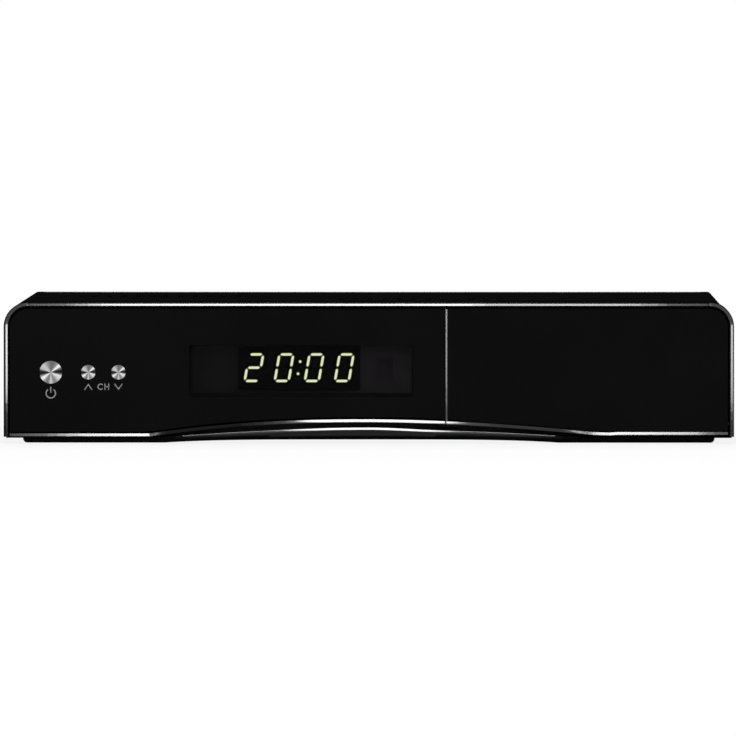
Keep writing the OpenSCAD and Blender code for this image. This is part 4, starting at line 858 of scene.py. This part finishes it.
# The display's carrier gets lighter to the right: its base colour is multiplied by 1.1 to 2.1.
tree = PLAIN["carrier_grey"].node_tree
shader = tree.nodes["Principled BSDF"]
colours = shader.inputs["Base Color"].links[0].from_node
apart, scaled = add(tree, "SeparateXYZ"), add(tree, "VectorMath", operation="SCALE")
factor = spread(tree, apart, "X", (-0.030, 0.0), (1.1, 2.1))
wire(tree, (add(tree, "TexCoord"), "Object", apart, "Vector"), (colours, "Color", scaled, 0),
     (factor, "Result", scaled, "Scale"), (scaled, 0, shader, "Base Color"))
by_slot = dict(PLAIN, gloss_black=gloss_black, rim_black=rim_black, lip_grey=lip_grey,
               smoked_lens=smoked_lens, spun_aluminium=spun, segment_light=glow)
slot_of = {row["node"]: row["material_slot"] for row in frame["record"]["subparts"]}
for name, obj in nodes.items():
    coat(obj, by_slot[slot_of[name]])
print("finishes", len(by_slot), "solids dressed", len(nodes))

# %% [markdown]
# Behind the lens two thin frames close the gaps that would show as black lines: a foam gasket
# between the lens and the carrier, and a bezel round the infrared receiver in its cut-out.

# %% Gasket and bezel
# Rectangles as (left, right, bottom, top).
GASKET, CARRIER = (-74.3, 18.9, 18.75, 41.2), (-72.5, 17.7, 20.7, 41.0)
CUT_OUT, RECEIVER = (1.87, 10.83, 25.12, 36.08), (2.83, 9.87, 26.08, 35.12)
gasket_foam = finish("gasket_foam", (0.085, 0.083, 0.083), (0.115, 0.112, 0.112), 900, (0.7, 0.8))


def flat_frame(name, outer, inner, front, back, material):
    """A closed four-sided ring between two rectangles and two depths."""
    corners = np.array([[0, 2], [1, 2], [1, 3], [0, 3], [0, 2]])
    far, close = np.array(outer)[corners], np.array(inner)[corners]
    xz = np.stack([far, far, close, close], 1)
    t = np.array([front, back, back, front])
    ring = rings(name, place(xz[..., 0], t, xz[..., 1]), "carrier_grey", caps=False, smooth=20)
    return coat(ring, material)


gasket = flat_frame("window_gasket", GASKET, CARRIER, 4.1, 5.3, gasket_foam)
bezel = flat_frame("receiver_bezel", CUT_OUT, RECEIVER, 5.55, 6.6, PLAIN["carrier_grey"])
print("frames", gasket.name, bezel.name)

# %% [markdown]
# Pressed sheet metal has tight rounded folds, and the CAD copy gets them from a small bevel. Along
# the rear the cover has a low pressed ridge, which keeps the thin sheet straight and catches the
# light. Under each end of the front a small web joins the frame's bar to the lip.

# %% Case
HEM = [(205.0, 57.0), (205.0, 57.63), (205.023, 57.695), (205.2, 57.78), (206.0, 57.8), (206.7, 57.74),
       (206.9, 57.6), (206.9, 57.0)]
HEM_HALF = 140.5
WEB = [(1.4, 2.35), (1.0, 2.5), (1.0, 2.65), (1.4, 2.8), (17.0, 2.8), (17.0, 2.35)]
WEB_X = (140.2, 149.0)


def bar(name, start, end, section, rows, slot, replaces, material, smooth=35.0):
    """A section of (t, z) carried straight from one x to another."""
    x = np.linspace(start, end, rows)[:, None]
    t, z = np.array(section).T[:, None, :]
    return coat(rings(name, place(x, t, z), slot, replaces, smooth=smooth), material)


cover = refined("top_cover", "cover_shell", "cabinet", "cover_paint", 0.3)
cover.data.materials.append(PLAIN["cover_paint"])
# The bevel faces of the cover take the light grey: a painted highlight along its edges.
cover.data.materials.append(PLAIN["cover_edge"])
cover.modifiers["edge"].material = 1
for node, name, bevel in (("rear_panel", "rear_sheet", 0.12), ("bottom_pan", "pan_shell", 0.15)):
    coat(refined(node, name, "cabinet", "zinc_steel", bevel), PLAIN["zinc_steel"])
bar("cover_hem", -HEM_HALF, HEM_HALF, HEM, 8, "cover_paint", ["top_cover"], polished_black, 12)
for side, name in ((-1, "frame_web_left"), (1, "frame_web_right")):
    bar(name, side * WEB_X[0], side * WEB_X[1], WEB, 5, "rim_black", (), rim_black)
print("cover faces", len(cover.data.polygons))

# %% [markdown]
# Four rubber feet carry the weight. Each is moulded with a rounded edge and a shallow hollow below,
# so that only a ring stands on the shelf. It is one profile turned round an upright axis.

# %% Feet
FEET = [(x, t) for x in (-125.8, 125.8) for t in (36.03, 190.97)]
bend = np.radians(np.linspace(0, 90, 6))
# The profile as (radius, z): the hollow, the ring, the rounded edge and the side up to the pan.
FOOT = [(0.4, 0.7), (5.6, 0.7), (6.4, 0.55), (6.9, 0.1), (7.4, 0.0),
        *zip(9.0 + np.sin(bend), 1.0 - np.cos(bend)), (10.0, 2.6), (9.7, 3.1), (9.3, 3.2), (0.4, 3.2)]
radius, foot_z = np.array(FOOT).T[:, :, None]
turn = circle(48)
for i, (cx, ct) in enumerate(FEET):
    points = place(cx + radius * np.cos(turn), ct + radius * np.sin(turn), foot_z)
    coat(rings("foot_" + str(i), points, "foot_rubber", ["feet"], smooth=30), PLAIN["foot_rubber"])
print("foot points", len(FOOT))

# %% [markdown]
# The rear carries the sockets. The two satellite sockets are turned brass with a fine thread, plated
# with nickel, and a white insulator holds the contact. The thread is a real helix: the radius of the
# grid falls and rises with the depth minus the turn.

# %% Satellite sockets
REAR_T, BODY_T, SOCKET_Z = 211.0, 212.0, 22.8
THREAD_R, THREAD_CUT, THREAD_PITCH, THREAD_END, TIP = 4.76, 0.42, 0.8, BODY_T + 9.6, BODY_T + 10.0
# The tip, the bore, the insulator's face and the contact's hole, as (radius, t).
BORE = [(4.4, TIP - 0.25), (4.15, TIP), (3.0, TIP), (2.8, TIP - 0.2), (2.8, TIP - 7), (0.7, TIP - 7),
        (0.6, TIP - 7.2), (0.6, TIP - 9)]
NUT = [(0.3, BODY_T), (0, BODY_T + 0.25), (0, BODY_T + 1.75), (0.35, BODY_T + 2)]
insulator_white = finish("insulator_white", (0.66, 0.66, 0.63), (0.76, 0.76, 0.73), 1200, (0.3, 0.4))


def from_axis(centres, x, z):
    """How far face centres are from an axis at (x, z) that points to the front."""
    return np.hypot(centres[:, 0] - x, centres[:, 2] - z)


def threaded(name, cx, cz, node):
    """Rows of rings: the barrel with radius R - h (1 + cos(2 pi (t / pitch - turn))) / 2, whose
    thread fades in and out at its ends, then the tip and the bore."""
    turn = circle(48)
    t = np.arange(REAR_T, THREAD_END, THREAD_PITCH / 6)[:, None]
    fade = np.clip((t - BODY_T - 2.6) / 0.6, 0, 1) * np.clip((THREAD_END - t) / 0.5, 0, 1)
    barrel = THREAD_R - THREAD_CUT * fade * (1 + np.cos(2 * np.pi * t / THREAD_PITCH - turn)) / 2
    bore_r, bore_t = np.array(BORE).T[:, :, None]
    r, depth = np.concatenate([barrel, bore_r + 0 * turn]), np.concatenate([t, bore_t])
    obj = rings(name, about(cx, cz, r, depth, turn), "socket_nickel", [node], smooth=50)
    return paint_faces(obj, [PLAIN["socket_nickel"], insulator_white],
                       lambda n, c: (from_axis(c, cx, cz) < 2.7) & (c[:, 1] < TIP - 6.5))


def hexagon(cx, cz, r):
    """Twelve points of a hexagon, its corners and the middles of its sides, as a function of how
    far it is drawn in."""
    turn = circle(12)
    reach = np.where(np.arange(12) % 2 == 0, 1.0, math.cos(math.pi / 6))
    x, z = reach * np.cos(turn), reach * np.sin(turn)
    return lambda inset: (cx + (r - inset) * x, cz + (r - inset) * z)


for name, cx in (("satellite_input", 132.0), ("satellite_loop_output", 116.0)):
    threaded(name + "_barrel", cx, SOCKET_Z, name)
    nut = stacked(name + "_nut", hexagon(cx, SOCKET_Z, 6.6), NUT, "socket_nickel", name)
    coat(nut, PLAIN["socket_nickel"])
print("satellite sockets done")

# %% [markdown]
# Four phono sockets stand in coloured collars: yellow for the picture, white and red for the sound
# and orange for digital sound. Each is a turned metal sleeve round an insulator with a contact hole.

# %% Phono sockets
# Where each socket stands, and its collar's dark and light colour.
PHONO = {"yellow": (-10, 34.8, (0.62, 0.43, 0.01), (0.72, 0.52, 0.02)),
         "white": (4, 34.8, (0.62, 0.62, 0.59), (0.72, 0.72, 0.69)),
         "orange": (-10, 20.8, (0.66, 0.17, 0.008), (0.76, 0.22, 0.014)),
         "red": (4, 20.8, (0.42, 0.012, 0.012), (0.52, 0.02, 0.018))}
SLEEVE = [(0.3, 211.0), (4.75, 211.0), (4.75, 213.5), (4.65, 213.6), (4.15, 213.6), (4.15, 220.2),
          (4.05, 220.42), (3.85, 220.5), (3.6, 220.5), (3.5, 220.4), (3.5, 219.9), (1.85, 219.9),
          (1.65, 219.7), (1.65, 211.6), (0.3, 211.6)]
COLLAR = [(4.8, 212.0), (5.6, 212.0), (5.6, 213.35), (5.52, 213.53), (5.35, 213.6), (4.9, 213.6),
          (4.8, 213.5)]
radius, depth = np.array(COLLAR).T[:, None, :]
turn = np.append(circle(48), 0)[:, None]
for colour, (cx, cz, dark, light) in PHONO.items():
    plastic = finish("collar_" + colour, dark, light, 900, (0.3, 0.4))
    sleeve = turned("phono_sleeve_" + colour, cx, cz, SLEEVE, "cabinet", "socket_nickel", "phono_sleeves", 48)
    paint_faces(sleeve, [PLAIN["socket_nickel"], plastic],
                lambda n, c: (np.abs(from_axis(c, cx, cz) - 2.575) < 0.875) & (c[:, 1] > 219))
    points = about(cx, cz, radius, depth, turn)
    coat(rings("phono_collar_" + colour, points, "collar_plastic", ["phono_collars"], caps=False), plastic)
print("phono sockets", len(PHONO))

# %% [markdown]
# The other solids that can be seen get a copy with softened edges. Some are two materials in one
# solid, such as a plated shell round a black tongue, so their faces are told apart by where they lie.

# %% Sockets, switch and screws
BEVELS = {"mains_inlet": 0.25, "mains_switch": 0.25, "mains_rocker": 0.3, "hdmi_socket": 0.06,
          "ethernet_socket": 0.15, "serial_socket": 0.1, "scart_sockets": 0.2, "phono_block": 0.3,
          "tuner_can": 0.2, "usb_socket": 0.1, "card_reader": 0.15, "bay_panel": 0.25, "cover_screws": 0.22,
          "chassis_screws": 0.2, "door_strike": 0.1, "door_magnet": 0.15, "power_transformer": 0.3,
          "power_heat_sinks": 0.1, "processor_heat_sink": 0.1, "display_carrier": 0.1,
          "display_module": 0.1, "infrared_receiver": 0.15}
MOVING = {"mains_rocker": "rocker", "door_strike": "door"}


def near(c, x, z, w, h):
    """True within a rectangle of half width w and half height h round (x, z)."""
    return (np.abs(c[:, 0] - x) < w) & (np.abs(c[:, 2] - z) < h)


# The second material of a solid, and the faces that have it.
TWO = {
    "mains_inlet": ("socket_nickel",
                    lambda n, c: (from_axis(c, -128.3, 26) < 1.9) | (from_axis(c, -119.7, 26) < 1.9)),
    "hdmi_socket": ("inner_plastic",
                    lambda n, c: near(c, 20, 15.2, 6.2, 1.2) | near(c, 20, 15.2, 7, 2.5) & (c[:, 1] < 205)),
    "ethernet_socket": ("inner_plastic", lambda n, c: near(c, 37, 18.6, 6.2, 4.6) & (c[:, 1] < 212.9)),
    "serial_socket": ("inner_plastic",
                      lambda n, c: near(c, 62, 18.4, 8.4, 4.1) & (np.abs(c[:, 1] - 211) < 0.3)),
    "scart_sockets": ("socket_nickel", lambda n, c: (np.abs(c[:, 1] - 207) < 0.1) & (n[:, 1] > 0.9)),
    "usb_socket": ("inner_plastic", lambda n, c: near(c, 131, 16.2, 5.6, 1.3) & (c[:, 1] > 14.5))}
for node, bevel in BEVELS.items():
    slot = slot_of[node]
    soft = refined(node, node + "_soft", MOVING.get(node, "cabinet"), slot, bevel)
    if node in TWO:
        second, choose = TWO[node]
        paint_faces(soft, [PLAIN[slot], PLAIN[second]], choose)
    else:
        coat(soft, PLAIN[slot])
blackened = finish("blackened_steel", (0.01, 0.01, 0.011), (0.018, 0.018, 0.019), 900, (0.4, 0.5),
                   specular=0.1)
coat(nodes["door_pins"], blackened)
print("softened", len(BEVELS), "in two materials", len(TWO))

# %% [markdown]
# The studio is a wide white floor that fades into a white sky. The camera, mirrors and glass see
# that white as it is, and the object gets a mid grey from it. A wide box of light high in front
# draws the bright lines on the rim, bead and ridge; two small boxes at the sides draw the upright
# edges, and a large one above and behind keeps the back and the top readable.

# %% Studio
def seen_directly(tree):
    """One for what the camera sees, also in a mirror or through glass, and zero for other light."""
    path = add(tree, "LightPath")
    first, both = add(tree, "Math", operation="MAXIMUM"), add(tree, "Math", operation="MAXIMUM")
    wire(tree, (path, "Is Camera Ray", first, 0), (path, "Is Glossy Ray", first, 1),
         (first, "Value", both, 0), (path, "Is Transmission Ray", both, 1))
    return both


# The floor is a flat square grid, eighty metres wide.
x, y = np.meshgrid(np.linspace(-40, 40, 9), np.linspace(-40, 40, 9))
mesh = bpy.data.meshes.new("studio_floor")
mesh.from_pydata(np.stack([x, y, 0 * x], -1).reshape(-1, 3).tolist(), [], grid_faces(9, 9, False))
floor = bpy.data.objects.new("studio_floor", mesh)
bpy.context.scene.collection.objects.link(floor)
white_floor, tree, shader = new_material("studio_floor", Roughness=0.9, Specular_IOR_Level=0.1)
paper = ramp(tree, noise(tree, 0.7), "Fac", zip(NOISE_SPAN, (0.92, 0.94)))
white = add(tree, "Emission", {"Color": (1, 1, 1, 1), "Strength": 1.0})
distance, share = add(tree, "VectorMath", operation="LENGTH"), add(tree, "Math", operation="MULTIPLY")
fade = spread(tree, distance, "Value", (0.25, 0.9), (0.84, 1.0), interpolation_type="SMOOTHSTEP")
blend = add(tree, "MixShader")
wire(tree, (paper, "Color", shader, "Base Color"), (add(tree, "TexCoord"), "Object", distance, 0),
     (seen_directly(tree), "Value", share, 0), (fade, "Result", share, 1), (share, "Value", blend, "Fac"),
     (shader, 0, blend, 1), (white, 0, blend, 2), (blend, 0, tree.nodes["Material Output"], "Surface"))
coat(floor, white_floor)

world = bpy.data.worlds.new("studio")
bpy.context.scene.world = world
world.use_nodes = True
tree = world.node_tree
sky = tree.nodes["Background"]
sky.inputs["Strength"].default_value = 1.0
pick = add(tree, "Mix", {6: (0.38, 0.38, 0.38, 1), 7: (1, 1, 1, 1)}, data_type="RGBA")
wire(tree, (seen_directly(tree), "Value", pick, 0), (pick, 2, sky, "Color"))


# Area lamps: place, target, width, height and radiance. A lamp's power is radiance x pi x area.
LAMPS = {"strip_above": ((-0.008, -1.0, 0.86), (-0.002, -0.11, 0.03), 0.325, 0.30, 23),
         "box_left": ((-0.53, -0.45, 0.035), (-0.15, -0.11, 0.035), 0.10, 0.068, 17),
         "box_right": ((0.53, -0.45, 0.035), (0.15, -0.11, 0.035), 0.10, 0.068, 11),
         "box_back": ((0.0, 1.5, 1.7), (0, 0, 0), 1.6, 0.9, 4.0)}
for name, (where, target, wide, high, radiance) in LAMPS.items():
    lamp = bpy.data.lights.new(name, "AREA")
    lamp.shape, lamp.size, lamp.size_y = "RECTANGLE", wide, high
    lamp.energy = radiance * math.pi * wide * high
    aimed(name, lamp, where, target).visible_camera = False
print("lamps", *LAMPS)
